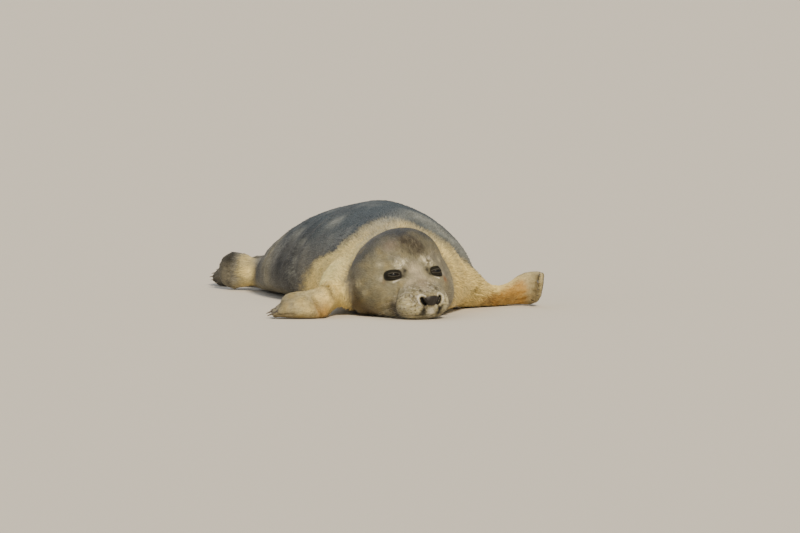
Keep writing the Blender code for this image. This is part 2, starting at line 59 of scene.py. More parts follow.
# Gives a node its inputs. Each is a node or a socket to link from, or the value to set.
def feed(tree, node, inputs):
    for name, value in inputs.items():
        live = [socket for socket in node.inputs if socket.name == name and socket.enabled]
        socket = node.inputs[name] if isinstance(name, int) else live[0]
        if isinstance(value, bpy.types.Node):
            value = next(made for made in value.outputs if made.enabled)
        if isinstance(value, bpy.types.NodeSocket):
            tree.links.new(value, socket)
        else:
            socket.default_value = value


def addNode(tree, kind, inputs=None, **settings):
    node = tree.nodes.new(kind)
    for name, value in settings.items():
        setattr(node, name, value)
    feed(tree, node, inputs or {})
    return node


# A new material with its tree and its shader.
def newMaterial(name):
    finish = bpy.data.materials.new(name)
    finish.use_nodes = True
    return finish, finish.node_tree, finish.node_tree.nodes["Principled BSDF"]


def newObject(name, data):
    obj = bpy.data.objects.new(name, data)
    bpy.context.scene.collection.objects.link(obj)
    return obj


def meshFrom(shape, name):
    mesh = bpy.data.meshes.new(name)
    shape.to_mesh(mesh)
    shape.free()
    return mesh


# The object's evaluated shape as a plain mesh object. The old object is removed.
def bake(obj, name):
    graph = bpy.context.evaluated_depsgraph_get()
    mesh = bpy.data.meshes.new_from_object(obj.evaluated_get(graph))
    bpy.data.objects.remove(obj)
    mesh.name = name
    return newObject(name, mesh)


def readVectors(items, field):
    flat = np.empty(len(items) * 3)
    items.foreach_get(field, flat)
    return flat.reshape(-1, 3)


def smoothStep(low, high, values):
    t = np.clip((values - low) / (high - low), 0, 1)
    return t * t * (3 - 2 * t)


def fadeOut(low, high, values):
    return 1 - smoothStep(low, high, values)


# 1 at the middle, fading to nothing a couple of reaches away.
def bump(values, middle, reach):
    return np.exp(-(((values - middle) / reach) ** 2))


def unit(vectors):
    return vectors / np.maximum(np.linalg.norm(vectors, axis=-1, keepdims=True), 1e-9)


# Distance of each point from one place.
def gapTo(places, middle):
    return np.linalg.norm(places - np.array(middle), axis=1)


# Lengths of a line's straight pieces.
def stepLengths(line):
    return np.linalg.norm(np.diff(np.array(line, float), axis=0), axis=1)


# 1 for a feature where it is given, and -1 too for its twin on the other side when it is paired.
def sidesOf(paired):
    return (1, -1) if paired else (1,)


def mirrored(points, side):
    return np.array(points, float) * (side, 1, 1)


# The first point of each face.
def firstPoints(mesh):
    return np.array([polygon.vertices[0] for polygon in mesh.polygons])


view = {
    "distance": 20.0,  # far off, as a long lens sees it
    "rise": math.radians(4.2),
    "lookAt": (0.0456, -0.3919, 0.0901),
    "frameWidth": 1.344,  # metres across the picture at the object
    "sensor": 36,
    "clipEnd": 120,
}
floorLook = {"half": 45, "colour": "#cfc8bb", "rough": 0.95, "gloss": 0.1}
lights = {
    # place it shines from, strength, softness in degrees, colour
    "key": ((0.9, -2.7, 2.5), 4.6, 14, "#fff0d6"),
    "fill": ((-2.8, -1.0, 1.6), 0.50, 50, "#dfeaff"),
    "back": ((-0.8, 2.2, 2.4), 0.60, 35, "#eef3ff"),
}
studioAir = {"colour": "#e9edf2", "strength": 0.44}


def addCamera():
    camera = newObject("camera", bpy.data.cameras.new("camera"))
    camera.data.sensor_width = view["sensor"]
    camera.data.lens = view["sensor"] * view["distance"] / view["frameWidth"]
    camera.data.clip_end = view["clipEnd"]
    sight = Vector((0, math.cos(view["rise"]), -math.sin(view["rise"])))
    camera.location = Vector(view["lookAt"]) - sight * view["distance"]
    camera.rotation_euler = sight.to_track_quat("-Z", "Y").to_euler()
    bpy.context.scene.camera = camera


def addFloor():
    half = floorLook["half"]
    mesh = bpy.data.meshes.new("floor")
    corners = [(-half, -half, 0), (half, -half, 0), (half, half, 0), (-half, half, 0)]
    mesh.from_pydata(corners, [], [(0, 1, 2, 3)])
    floor = newObject("floor", mesh)
    paper, tree, shader = newMaterial("matt studio floor")  # seamless paper with next to no gloss
    feed(tree, shader, {"Base Color": hexColour(floorLook["colour"]), "Roughness": floorLook["rough"],
                        "Specular IOR Level": floorLook["gloss"]})
    mesh.materials.append(paper)


def addLights():
    for name, (place, strength, softness, colour) in lights.items():
        lamp = bpy.data.lights.new(name, "SUN")
        lamp.energy = strength
        lamp.angle = math.radians(softness)
        lamp.color = hexColour(colour)[:3]
        holder = newObject(name, lamp)
        holder.location = place
        holder.rotation_euler = (-Vector(place)).to_track_quat("-Z", "Y").to_euler()
    world = bpy.data.worlds.new("studio")
    bpy.context.scene.world = world
    world.use_nodes = True
    sky = world.node_tree.nodes["Background"]
    feed(world.node_tree, sky, {"Color": hexColour(studioAir["colour"]),
                                "Strength": studioAir["strength"]})


# The head's own frame comes from its two eyes: side is towards its right, then forward and up.
headSet = {"eyeSide": 0.0376, "eyeForward": 0.0656, "eyeUp": 0.0738}
noseTip = np.array((0.0, 0.128, 0.034))


def eyeMiddle(side):
    return mirrored((headSet["eyeSide"], headSet["eyeForward"], headSet["eyeUp"]), side)


# The lines that the coat lies along, from where it starts to where it ends.
coatLines = {
    "spine": (
        (0.041, -0.308, 0.060), (0.044, -0.237, 0.060), (0.047, -0.157, 0.065),
        (0.038, -0.072, 0.070), (0.012, 0.013, 0.072), (-0.034, 0.093, 0.068),
        (-0.078, 0.163, 0.060), (-0.113, 0.218, 0.052), (-0.140, 0.258, 0.045),
        (-0.172, 0.305, 0.040), (-0.205, 0.345, 0.035),
    ),
    "fore_flipper_right": (
        (-0.018, -0.130, 0.066), (-0.042, -0.196, 0.056), (-0.058, -0.256, 0.046),
        (-0.071, -0.306, 0.033), (-0.094, -0.344, 0.0225), (-0.134, -0.356, 0.020),
        (-0.175, -0.342, 0.0115),
    ),
    "fore_flipper_left": (
        (0.098, -0.192, 0.052), (0.144, -0.148, 0.038), (0.180, -0.111, 0.021),
        (0.214, -0.088, 0.016), (0.249, -0.076, 0.024), (0.275, -0.086, 0.033),
        (0.284, -0.116, 0.031), (0.282, -0.134, 0.028),
    ),
    "hind_flipper_right": (
        (-0.144, 0.226, 0.038), (-0.194, 0.254, 0.034), (-0.238, 0.280, 0.0345),
        (-0.275, 0.312, 0.0305),
    ),
    "hind_flipper_left": (
        (-0.134, 0.276, 0.036), (-0.170, 0.336, 0.030), (-0.226, 0.372, 0.021),
        (-0.290, 0.3816, 0.014),
    ),
    "tail": ((-0.146, 0.256, 0.062), (-0.186, 0.296, 0.056), (-0.220, 0.324, 0.047)),
}
limbNames = [name for name in coatLines if name != "spine"]
flipperNames = [name for name in limbNames if name != "tail"]


# The matrix from the head's frame to the world.
def headPlace():
    middles = {}
    for side in ("left", "right"):
        low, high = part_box("eye_" + side)
        middles[side] = (low + high) / 2
    across = (middles["right"] - middles["left"]).normalized()
    up = (Vector((0, 0, 1)) - across * across.z).normalized()
    forward = up.cross(across)
    between = (middles["right"] + middles["left"]) / 2
    origin = between - forward * headSet["eyeForward"] - up * headSet["eyeUp"]
    turn = Matrix((across, forward, up)).transposed().to_4x4()
    return Matrix.Translation(origin) @ turn


headMatrix = headPlace()
headTurn = np.array(headMatrix.to_3x3())
headOrigin = np.array(headMatrix.translation)


def toHead(points):
    return (points - headOrigin) @ headTurn


def fromHead(points):
    return points @ headTurn.T + headOrigin


lineSet = {"samples": 160, "softPasses": 12, "batch": 8000}


# How far along the line each of its points lies.
def marksAlong(line):
    return np.concatenate([[0], np.cumsum(stepLengths(line))])


def pointsAlong(line, marks, at):
    line = np.array(line, float)
    return np.stack([np.interp(at, marks, line[:, k]) for k in range(3)], axis=-1)


# For each point: distance to the line, length along it, its heading, and the offset from it.
def followLine(points, line):
    marks = marksAlong(line)
    fine = np.linspace(0, marks[-1], lineSet["samples"])
    curve = pointsAlong(line, marks, fine)
    for _ in range(lineSet["softPasses"]):
        curve[1:-1] = (curve[:-2] + curve[2:]) / 2
    heading = unit(np.gradient(curve, axis=0))
    nearest = np.empty(len(points), int)
    for start in range(0, len(points), lineSet["batch"]):
        some = slice(start, start + lineSet["batch"])
        gaps = ((points[some][:, None, :] - curve[None]) ** 2).sum(axis=2)
        nearest[some] = gaps.argmin(axis=1)
    offset = points - curve[nearest]
    along = fine[nearest] + (offset * heading[nearest]).sum(axis=1)
    return np.linalg.norm(offset, axis=1), along, heading[nearest], offset


# How much of a crease there is at each point, fading out towards the line's ends.
def crease(places, line, half, ends=0.25):
    line = np.array(line, float)
    near = np.all((places > line.min(0) - 3 * half) & (places < line.max(0) + 3 * half), axis=1)
    share = np.zeros(len(places))
    gap, along, _, _ = followLine(places[near], line)
    length = stepLengths(line).sum()
    fade = smoothStep(0, ends * length, along) * smoothStep(0, ends * length, length - along)
    share[near] = bump(gap, 0, half) * fade
    return share


fleshNames = ["head", "neck", "trunk", "tail", *flipperNames]
skinMake = {
    "overlap": 0.8 * mm,  # closes the thin cuts between the solids
    "voxel": 4.2 * mm,
    "softPasses": {"head": 12, "neck": 24, "trunk": 30, "tail": 1, "fore": 3, "hind": 2},
    "coatDepth": {"head": 2.4, "neck": 4.2, "trunk": 4.0, "tail": 1.4, "fore": 2.0, "hind": 1.4},
    "sharePasses": 14,  # spread each solid's share over its seams
    "evenPasses": 16,  # even out how far the skin is moved
    "facePasses": 6,  # round off the face once its mesh is finer
    "mostIn": 6 * mm,  # the skin is never moved further than these
    "mostOut": 16 * mm,
    "aroundEye": 18 * mm,  # nor at all this close to an eye
    "floorFade": (1 * mm, 10 * mm),  # between these heights the skin comes down to the floor
}
# Where the face's skin is finer, step by step: middles in the head's frame, and reach.
fineSteps = [
    [((0.0, 0.075, 0.055), 0.088)],
    [((0.0, 0.107, 0.036), 0.050), ((0.038, 0.066, 0.074), 0.033), ((-0.038, 0.066, 0.074), 0.033)],
    [((0.0, 0.128, 0.030), 0.023), ((0.038, 0.066, 0.074), 0.022), ((-0.038, 0.066, 0.074), 0.022)],
]


# The flesh solids and the eyes in one mesh, each shell swollen a little into the next.
def weldedShells():
    shape = bmesh.new()
    for name in fleshNames + ["eye_left", "eye_right"]:
        shell = bmesh.new()
        shell.from_mesh(nodes[name].data)
        bmesh.ops.remove_doubles(shell, verts=shell.verts, dist=0.02 * mm)
        shell.normal_update()
        for vertex in shell.verts:
            vertex.co += vertex.normal * skinMake["overlap"]
        mesh = meshFrom(shell, "shell")
        shape.from_mesh(mesh)
        bpy.data.meshes.remove(mesh)
    body = newObject("body", meshFrom(shape, "body"))
    weld = body.modifiers.new("weld", "REMESH")
    weld.mode = "VOXEL"
    weld.voxel_size = skinMake["voxel"]
    return bake(body, "body")


# A search tree over the flesh solids, and the name of the solid of each of its faces.
def fleshFinder():
    corners, faces, owners = [], [], []
    for name in fleshNames:
        mesh = nodes[name].data
        start = len(corners)
        corners += [v.co.copy() for v in mesh.vertices]
        faces += [[start + i for i in p.vertices] for p in mesh.polygons]
        owners += [name] * len(mesh.polygons)
    return BVHTree.FromPolygons(corners, faces), owners


# The skin's points as arrays, with the shares of each solid spread softly over its seams.
class Surface:
    def __init__(self, mesh):
        self.mesh = mesh
        self.places = readVectors(mesh.vertices, "co")
        pairs = np.empty(len(mesh.edges) * 2, int)
        mesh.edges.foreach_get("vertices", pairs)
        self.pairs = pairs.reshape(-1, 2)

    def normals(self):
        self.write()
        return readVectors(self.mesh.vertices, "normal")

    def write(self):
        self.mesh.vertices.foreach_set("co", self.places.ravel())
        self.mesh.update()

    # Values averaged with their neighbours' again and again.
    def spread(self, values, passes, where=None):
        values = np.array(values, float)
        flat = values.ndim == 1
        values = values[:, None] if flat else values
        first, second = self.pairs.T
        count = len(values)
        links = np.bincount(first, minlength=count) + np.bincount(second, minlength=count)
        share = 1.0 if where is None else where[:, None]
        for _ in range(passes):
            total = np.empty_like(values)
            for k in range(values.shape[1]):
                total[:, k] = np.bincount(first, values[second, k], count)
                total[:, k] += np.bincount(second, values[first, k], count)
            average = total / np.maximum(links, 1)[:, None]
            values += (average - values) * 0.6 * share
        return values[:, 0] if flat else values

    # Places smoothed as much as each part of the body asks for.
    def softened(self, shares):
        wanted = sumOf(shares, skinMake["softPasses"])
        places = self.places
        done = 0
        for passes in (4, 4, 6, 10, 16, 20):
            places = self.spread(places, passes, np.clip((wanted - done) / passes, 0, 1))
            done += passes
        return places

    # Share of each named solid at each point.
    def owned(self, finder, owners):
        names = np.array([owners[finder.find_nearest(Vector(p))[2]] for p in self.places])
        passes = skinMake["sharePasses"]
        return {name: self.spread((names == name).astype(float), passes) for name in fleshNames}


# The settings of the kinds of solid, mixed as the shares of the solids ask for.
def sumOf(shares, settings):
    return sum(share * settings[name.split("_")[0]] for name, share in shares.items())


def coatDepthAt(shares, headPlaces):
    depth = np.zeros(len(headPlaces))
    for name, share in shares.items():
        depth += share * skinMake["coatDepth"][name.split("_")[0]] * mm
    face = smoothStep(0.04, 0.095, headPlaces[:, 1]) * shares["head"]
    return depth * (1 - 0.65 * face)


# How far each point must move along its normal to lie the coat's depth inside the solids.
def depthChange(coarse, finder, depth, shares):
    normals = coarse.normals()
    change = np.zeros(len(depth))
    trust = np.zeros(len(depth))
    for k, (place, normal) in enumerate(zip(coarse.places, normals)):
        spot, outward, _, _ = finder.find_nearest(Vector(place))
        if outward.dot(Vector(normal)) > 0.6:
            change[k] = -depth[k] - (Vector(place) - spot).dot(outward)
            trust[k] = 1
    inHead = toHead(coarse.places)
    for side in (1, -1):
        trust *= gapTo(inHead, eyeMiddle(side)) > skinMake["aroundEye"]
    change = np.clip(change, -skinMake["mostIn"], skinMake["mostOut"]) * trust
    broad = 0.3 + 0.7 * (shares["trunk"] + shares["neck"])
    passes = skinMake["evenPasses"]
    return coarse.spread(change, passes, broad) / np.maximum(coarse.spread(trust, passes, broad), 0.05)


# Lays the skin out flat in charts of its own shape.
def unwrap(obj):
    bpy.context.view_layer.objects.active = obj
    obj.select_set(True)
    obj.data.uv_layers.new(name="OFBake")
    bpy.ops.object.mode_set(mode="EDIT")
    bpy.ops.mesh.select_all(action="SELECT")
    bpy.ops.uv.smart_project(angle_limit=math.radians(70), island_margin=0.004)
    bpy.ops.object.mode_set(mode="OBJECT")
    obj.select_set(False)


# Halves the faces in the zones of each step.
def refine(mesh):
    shape = bmesh.new()
    shape.from_mesh(mesh)
    for zones in fineSteps:
        inside = set()
        for middle, reach in zones:
            centre = Vector(fromHead(np.array(middle)))
            inside |= {v for v in shape.verts if (v.co - centre).length < reach}
        edges = [e for e in shape.edges if e.verts[0] in inside and e.verts[1] in inside]
        bmesh.ops.subdivide_edges(shape, edges=edges, cuts=1, use_grid_fill=True)
    big = [f for f in shape.faces if len(f.verts) > 4]
    bmesh.ops.triangulate(shape, faces=big)
    shape.to_mesh(mesh)
    shape.free()


def zoneShare(headPlaces, middle, reach):
    return fadeOut(reach * 0.85, reach, gapTo(headPlaces, middle))


def makeSkin():
    body = weldedShells()
    finder, owners = fleshFinder()
    coarse = Surface(body.data)
    shares = coarse.owned(finder, owners)
    coarse.places = coarse.softened(shares)
    depth = coatDepthAt(shares, toHead(coarse.places))
    moved = coarse.places
    for _ in range(2):
        coarse.places = moved
        moved = moved + coarse.normals() * depthChange(coarse, finder, depth, shares)[:, None]
    lifted = smoothStep(*skinMake["floorFade"], coarse.places[:, 2])
    floorLevel = np.minimum(moved[:, 2], coarse.places[:, 2])
    moved[:, 2] = floorLevel + (moved[:, 2] - floorLevel) * lifted
    coarse.places = moved
    coarse.write()
    unwrap(body)
    refine(body.data)
    skin = Surface(body.data)
    inFace = zoneShare(toHead(skin.places), *fineSteps[0][0])
    skin.places = skin.spread(skin.places, skinMake["facePasses"], inFace)
    shares = skin.owned(finder, owners)
    print("skin", len(body.data.polygons), "faces")
    return body, skin, shares


# Swellings and hollows: middle in the head's frame (side, forward, up), reach, height, both sides.
faceForms = [
    ((0.029, 0.113, 0.025), 15.0, 2.6, True),  # whisker pads
    ((0.018, 0.124, 0.016), 7.0, 1.6, True),  # their inner ends, under the nostrils
    ((-0.003, 0.132, 0.036), 11.0, 3.4, False),  # nose pad
    ((0.0145, 0.129, 0.040), 5.0, 1.6, True),  # wings of the nostrils
    ((-0.003, 0.133, 0.0335), 3.5, -0.8, False),  # dip between the nostrils
    ((0.028, 0.067, 0.0955), 11.0, 2.0, True),  # brows
    ((0.021, 0.082, 0.077), 8.0, -2.2, True),  # inner corners of the eyes
    ((0.062, 0.052, 0.048), 21.0, 2.0, True),  # cheeks
    ((0.047, 0.084, 0.046), 12.0, -2.4, True),  # hollow between cheek and pad
    ((0.045, 0.070, 0.060), 7.0, 1.2, True),  # bag under the eye
    ((0.0, 0.104, 0.069), 9.0, 1.4, False),  # ridge of the nose
    ((0.0, 0.118, 0.004), 10.0, 1.2, False),  # chin
]
# Creases: points in the head's frame, half width, depth, both sides.
faceCreases = {
    "mouth": (
        ((0.0, 0.131, 0.0095), (0.016, 0.126, 0.0085), (0.030, 0.116, 0.008), (0.041, 0.100, 0.009),
         (0.0465, 0.086, 0.0115), (0.050, 0.074, 0.0165), (0.052, 0.064, 0.022)), 1.6, 2.6, True,
    ),
    "behindPad": (
        ((0.036, 0.091, 0.060), (0.044, 0.094, 0.048), (0.0475, 0.095, 0.034),
         (0.0465, 0.092, 0.020), (0.0435, 0.087, 0.011)), 4.0, 2.2, True,
    ),
    "cheekFold": (
        ((0.052, 0.078, 0.056), (0.058, 0.074, 0.040), (0.059, 0.070, 0.022)), 5.0, 1.0, True,
    ),
    "lipSplit": (
        ((-0.002, 0.133, 0.0265), (-0.001, 0.131, 0.018), (0.0, 0.129, 0.009)), 0.9, 1.5, False,
    ),
    "underNoseRight": (
        ((0.0055, 0.131, 0.0258), (0.0072, 0.130, 0.0200), (0.0098, 0.128, 0.0150),
         (0.0115, 0.127, 0.0095)), 2.0, 3.0, False,
    ),
    "underNoseLeft": (
        ((-0.0165, 0.131, 0.0258), (-0.0190, 0.130, 0.0200), (-0.0200, 0.128, 0.0150),
         (-0.0192, 0.127, 0.0095)), 2.0, 3.0, False,
    ),
    "ridgeSide": (((0.012, 0.121, 0.054), (0.020, 0.108, 0.060), (0.025, 0.094, 0.069)), 3.5, 0.9, True),
}
noseSet = {
    "shift": -0.0052,  # the nose points a touch to the left of the head's own line
    # one nostril from its top to its inner end: side, up
    "nostril": ((0.0172, 0.0372), (0.0162, 0.0338), (0.0142, 0.0305), (0.0114, 0.0278)),
    "halfWidth": 2.7 * mm,
    "depth": 6.5 * mm,
    "padHalf": (0.0160, 0.0084),
    "padMiddle": 0.0330,
    "edge": (0.55, 1.25),  # a nostril's wall slopes between these shares of its half width
    "ring": (6.4 * mm, 1.3 * mm),  # the pale ring round a nostril: how far out, and its width
    "wing": 1.3 * mm,  # how far that ring stands out
    "wingSide": (0.005, 0.011),  # it rises between these distances from the nose's middle line
    "wingUp": (0.023, 0.030),  # and between these heights
    "front": 0.115,  # further back than this there is no nostril
    "padFront": 0.108,  # and further back than this no leather
}
lidSet = {
    "gaze": (0.22, 0.93, 0.26),  # where a slit faces, for the right eye
    "ball": 12.2 * mm,  # radius of the eyeball
    "lift": 1.2 * mm,  # thickness of a lid over it
    "slitHalf": 9.2 * mm,
    "inward": 1.2 * mm,  # how far the slit's middle lies towards the nose
    "open": 1.75 * mm,  # half the gap at its middle
    "below": 0.5 * mm,  # how far the gap lies below the eyeball's middle
    "droop": 0.7 * mm,  # how far its ends rise above that
    "rim": (0.7 * mm, 0.9 * mm, 0.8 * mm),  # height, distance from the gap, width
    # the folds of the upper and the lower lid and the roll under them: height, level, width in mm
    "folds": ((-1.1, 6.0, 1.2), (-0.8, -5.2, 1.1), (0.7, -7.6, 1.3)),
    "foldHalf": 14 * mm,
    "sink": 4.5,  # mm that the skin in the gap goes back, to behind the eyeball's front
    "fade": (8.0 * mm, 14.0 * mm),
    "darkHalf": (16.0 * mm, 10.2 * mm),
}
# A small hole with a raised rim: height or depth, distance from the middle, width.
earSet = {
    "place": (0.0795, 0.0170, 0.0590),
    "rim": (1.2 * mm, 4.2 * mm, 1.8 * mm),
    "hole": (3.0 * mm, 0, 2.0 * mm),
}


# For the eye on that side: outwards along the slit, up across it, and out of the head.
def eyeCoordinates(places, side):
    gaze = unit(mirrored(lidSet["gaze"], side))
    outward = unit(np.cross(gaze, (0, 0, 1)) * side)
    up = np.cross(outward, gaze) * side
    offset = places - eyeMiddle(side)
    return offset @ outward, offset @ up, offset @ gaze, gaze


# Distance across the slit from its edge: negative inside the gap.
def slitGap(a, b):
    share = np.clip(1 - ((a + lidSet["inward"]) / lidSet["slitHalf"]) ** 2, 0, 1)
    middle = -lidSet["below"] + lidSet["droop"] * (1 - share)
    return np.abs(b - middle) - lidSet["open"] * share, b - middle


def shapeLids(places, side):
    a, b, c, gaze = eyeCoordinates(places, side)
    spread = np.hypot(a, b)
    nearby = fadeOut(*lidSet["fade"], spread) * (c > 0)
    ball = lidSet["ball"] + lidSet["lift"]
    domed = np.sqrt(np.maximum(ball**2 - spread**2, (4 * mm) ** 2))
    change = (np.maximum(domed, c - 1.0 * mm) - c) * nearby
    gap, above = slitGap(a, b)
    onSlit = np.abs(a + lidSet["inward"]) < lidSet["slitHalf"]
    high, out, wide = lidSet["rim"]
    change += high * bump(gap, out, wide) * onSlit * nearby
    width = np.clip(1 - (a / lidSet["foldHalf"]) ** 2, 0, 1) * (c > 0)
    for height, level, reach in lidSet["folds"]:
        change += height * mm * bump(above, level * mm, reach * mm) * width
    inside = fadeOut(-0.30 * mm, 0.15 * mm, gap) * onSlit * (spread < 11 * mm) * (c > 0)
    change -= inside * lidSet["sink"] * mm
    return places + gaze * change[:, None]


# Distance in the nose's own plane from the nostril's line.
def nostrilDistance(places, side):
    line = np.array(noseSet["nostril"])
    line = np.column_stack([side * line[:, 0] + noseSet["shift"], np.zeros(len(line)), line[:, 1]])
    flat = places * (1, 0, 1)
    return np.where(places[:, 1] > noseSet["front"], followLine(flat, line)[0], 1.0)


# The head's points in its own frame, with the face's forms pressed into them.
def shapeFace(places, normals):
    change = np.zeros(len(places))
    for middle, reach, height, paired in faceForms:
        for side in sidesOf(paired):
            change += height * mm * bump(gapTo(places, mirrored(middle, side)), 0, reach * mm)
    for line, half, depth, paired in faceCreases.values():
        for side in sidesOf(paired):
            change -= depth * mm * crease(places, mirrored(line, side), half * mm)
    for side in (1, -1):
        gap = gapTo(places, mirrored(earSet["place"], side))
        rim, hole = (high * bump(gap, out, wide) for high, out, wide in (earSet["rim"], earSet["hole"]))
        change += rim - hole
    return places + normals * change[:, None]


# 1 above a nostril and on its outer side, where its wing stands out.
def outsideNostril(places, side):
    outwards = side * (places[:, 0] - noseSet["shift"])
    return smoothStep(*noseSet["wingSide"], outwards) * smoothStep(*noseSet["wingUp"], places[:, 2])


# The nostrils go straight back into the head, with a raised rim.
def shapeNostrils(places):
    moved = places.copy()
    for side in (1, -1):
        gap = nostrilDistance(places, side)
        inner, outer = (noseSet["halfWidth"] * share for share in noseSet["edge"])
        moved[:, 1] -= noseSet["depth"] * fadeOut(inner, outer, gap)
        moved[:, 1] += noseSet["wing"] * bump(gap, *noseSet["ring"]) * outsideNostril(places, side)
    return moved


# Creases of the trunk and limbs: points on the floor's frame, half width and depth in mm.
bodyCreases = {
    "flankLow": (
        ((-0.156, 0.082, 0.004), (-0.160, 0.052, 0.040), (-0.158, 0.040, 0.070),
         (-0.140, 0.042, 0.100), (-0.098, 0.090, 0.142), (-0.060, 0.130, 0.160)), 11, 5.2,
    ),
    "flankFore": (
        ((-0.128, -0.016, 0.010), (-0.133, -0.012, 0.060), (-0.124, 0.000, 0.092),
         (-0.088, 0.030, 0.136), (-0.050, 0.060, 0.160)), 9, 3.8,
    ),
    "flankRear": (
        ((-0.186, 0.160, 0.004), (-0.190, 0.142, 0.045), (-0.178, 0.130, 0.078),
         (-0.140, 0.150, 0.118), (-0.100, 0.180, 0.136)), 10, 4.4,
    ),
    "rump": (
        ((-0.204, 0.212, 0.010), (-0.205, 0.206, 0.050), (-0.188, 0.210, 0.078),
         (-0.150, 0.232, 0.096), (-0.120, 0.250, 0.100)), 9, 3.6,
    ),
    "shoulder": (
        ((-0.100, -0.050, 0.060), (-0.086, -0.110, 0.088), (-0.062, -0.170, 0.108),
         (-0.030, -0.215, 0.132)), 11, 3.0,
    ),
    "armpit": (
        ((-0.086, -0.285, 0.068), (-0.076, -0.333, 0.052), (-0.069, -0.341, 0.040),
         (-0.064, -0.338, 0.030), (-0.061, -0.332, 0.012)), 5.0, 7.0,
    ),
    "leftShoulder": (
        ((0.150, -0.200, 0.020), (0.150, -0.190, 0.070), (0.132, -0.165, 0.110),
         (0.095, -0.135, 0.142)), 10, 2.6,
    ),
    "leftArm": (
        ((0.170, -0.180, 0.010), (0.170, -0.158, 0.045), (0.158, -0.132, 0.075)), 7, 2.4,
    ),
    "wrist": (
        ((-0.111, -0.348, 0.046), (-0.105, -0.362, 0.037), (-0.0975, -0.369, 0.027),
         (-0.0925, -0.3705, 0.0175), (-0.0893, -0.369, 0.007), (-0.087, -0.365, -0.008)), 5.0, 9.0,
    ),
    "palmFold": (
        ((0.266, -0.100, 0.056), (0.264, -0.099, 0.040), (0.259, -0.097, 0.024),
         (0.256, -0.096, 0.006)), 4, 2.6,
    ),
}
# Swellings of the limbs: middle on the floor's frame, reach and height in mm.
bodyForms = [
    ((-0.148, -0.352, 0.038), 25, 6.0),  # back of the right hand
    ((-0.078, -0.352, 0.034), 20, 2.5),  # forearm behind it
]
# Each fold has a low swelling beside it: the share of its depth and the multiple of its width.
foldSet = {"ends": 0.42, "swell": 0.4, "wider": 2.2, "headGroove": 2.0 * mm}
lowestSkin = 0.2 * mm  # above the floor
fingerSet = {"groove": 1.9 * mm, "halfWidth": 2.2 * mm, "length": {"fore": 0.075, "hind": 0.060}}


# The middle of each claw of a flipper, thumb side first.
def clawMiddles(limb):
    found = []
    for number in range(1, 6):
        low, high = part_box(f"{limb.replace('flipper', 'claw')}_{number}")
        found.append(np.array((low + high) / 2))
    return found


# Grooves between the fingers, from between the claws back to the wrist.
def shapeFingers(places, normals, shares):
    change = np.zeros(len(places))
    for limb in flipperNames:
        claws = clawMiddles(limb)
        reach = fingerSet["length"][limb.split("_")[0]]
        near = shares[limb] > 0.02
        for first, second in zip(claws, claws[1:]):
            start = (first + second) / 2
            back = backAlong(coatLines[limb], start, reach)
            gap, along, _, offset = followLine(places[near], back)
            beside = sideGap(offset, normals[near])
            depth = fingerSet["groove"] * bump(beside, 0, fingerSet["halfWidth"])
            change[near] -= depth * fadeOut(0.6 * reach, reach, along) * (gap < 0.030)
    return change


# A line from a fingertip back towards the wrist, drawn in to the limb's own line.
def backAlong(line, start, reach):
    _, along, _, offset = followLine(start[None], line)
    shares = np.linspace(0, 1, 6)
    centres = pointsAlong(line, marksAlong(line), along[0] - reach * shares)
    return centres + offset[0] * (1 - 0.45 * shares)[:, None]


# Distance from a line measured along the surface, not through it.
def sideGap(offset, normals):
    flat = offset - normals * (offset * normals).sum(axis=1, keepdims=True)
    return np.linalg.norm(flat, axis=1)


def sculpt(skin, shares):
    normals = skin.normals()
    change = np.zeros(len(skin.places))
    for line, half, depth in bodyCreases.values():
        change -= depth * mm * crease(skin.places, line, half * mm, foldSet["ends"])
        swollen = crease(skin.places, line, foldSet["wider"] * half * mm, foldSet["ends"])
        change += foldSet["swell"] * depth * mm * swollen
    for middle, reach, height in bodyForms:
        change += height * mm * bump(gapTo(skin.places, middle), 0, reach * mm)
    rim = shares["head"] * (1 - shares["head"]) * 4
    change -= foldSet["headGroove"] * rim**2
    change += shapeFingers(skin.places, normals, shares)
    skin.places = skin.places + normals * change[:, None]
    skin.places[:, 2] = np.maximum(skin.places[:, 2], lowestSkin)
    normals = skin.normals()
    places = shapeFace(toHead(skin.places), normals @ headTurn)
    places = shapeNostrils(places)
    for side in (1, -1):
        places = shapeLids(places, side)
    skin.places = fromHead(places)
    skin.places[:, 2] = np.maximum(skin.places[:, 2], lowestSkin)
    skin.write()
    print("forms and folds")


# Painted light: the brightest cream, the lids' pale rim and part of the flank's pale band.
# Painted shade: the head's rim colours, the fold colour, and much of the darkest grey and the low brown.
colours = {
    "grey": "#67665f", "back": "#394449", "slateAndShade": "#2c2f33", "paleBandHighlight": "#8f8a74", "silver": "#8f9188",
    "cream": "#eed68a", "creamDeep": "#cfae5c", "collar": "#a39c80", "belly": "#bfb48c",
    "dirtAndShade": "#5d4a2c", "taupe": "#807a61", "rim": "#35383a", "sideShadeAndMottle": "#6c675a",
    "crown": "#352e23", "crownLight": "#7d755f", "pinkGrey": "#857663", "bridge": "#b9ab8e",
    "brow": "#d9cfa6", "pad": "#b9ae84", "olive": "#938459", "tear": "#7d4f22", "nose": "#26221e",
    "hole": "#080706", "lid": "#0d0c0a", "lidRimSheen": "#9d998a", "spot": "#2d2720", "palm": "#a9813f",
    "edge": "#aea27e", "hind": "#77705c", "hindDark": "#26241f", "finger": "#6b5f45",
    "white": "#ece5d0", "foldShade": "#625022", "litCream": "#fff0a4",
}
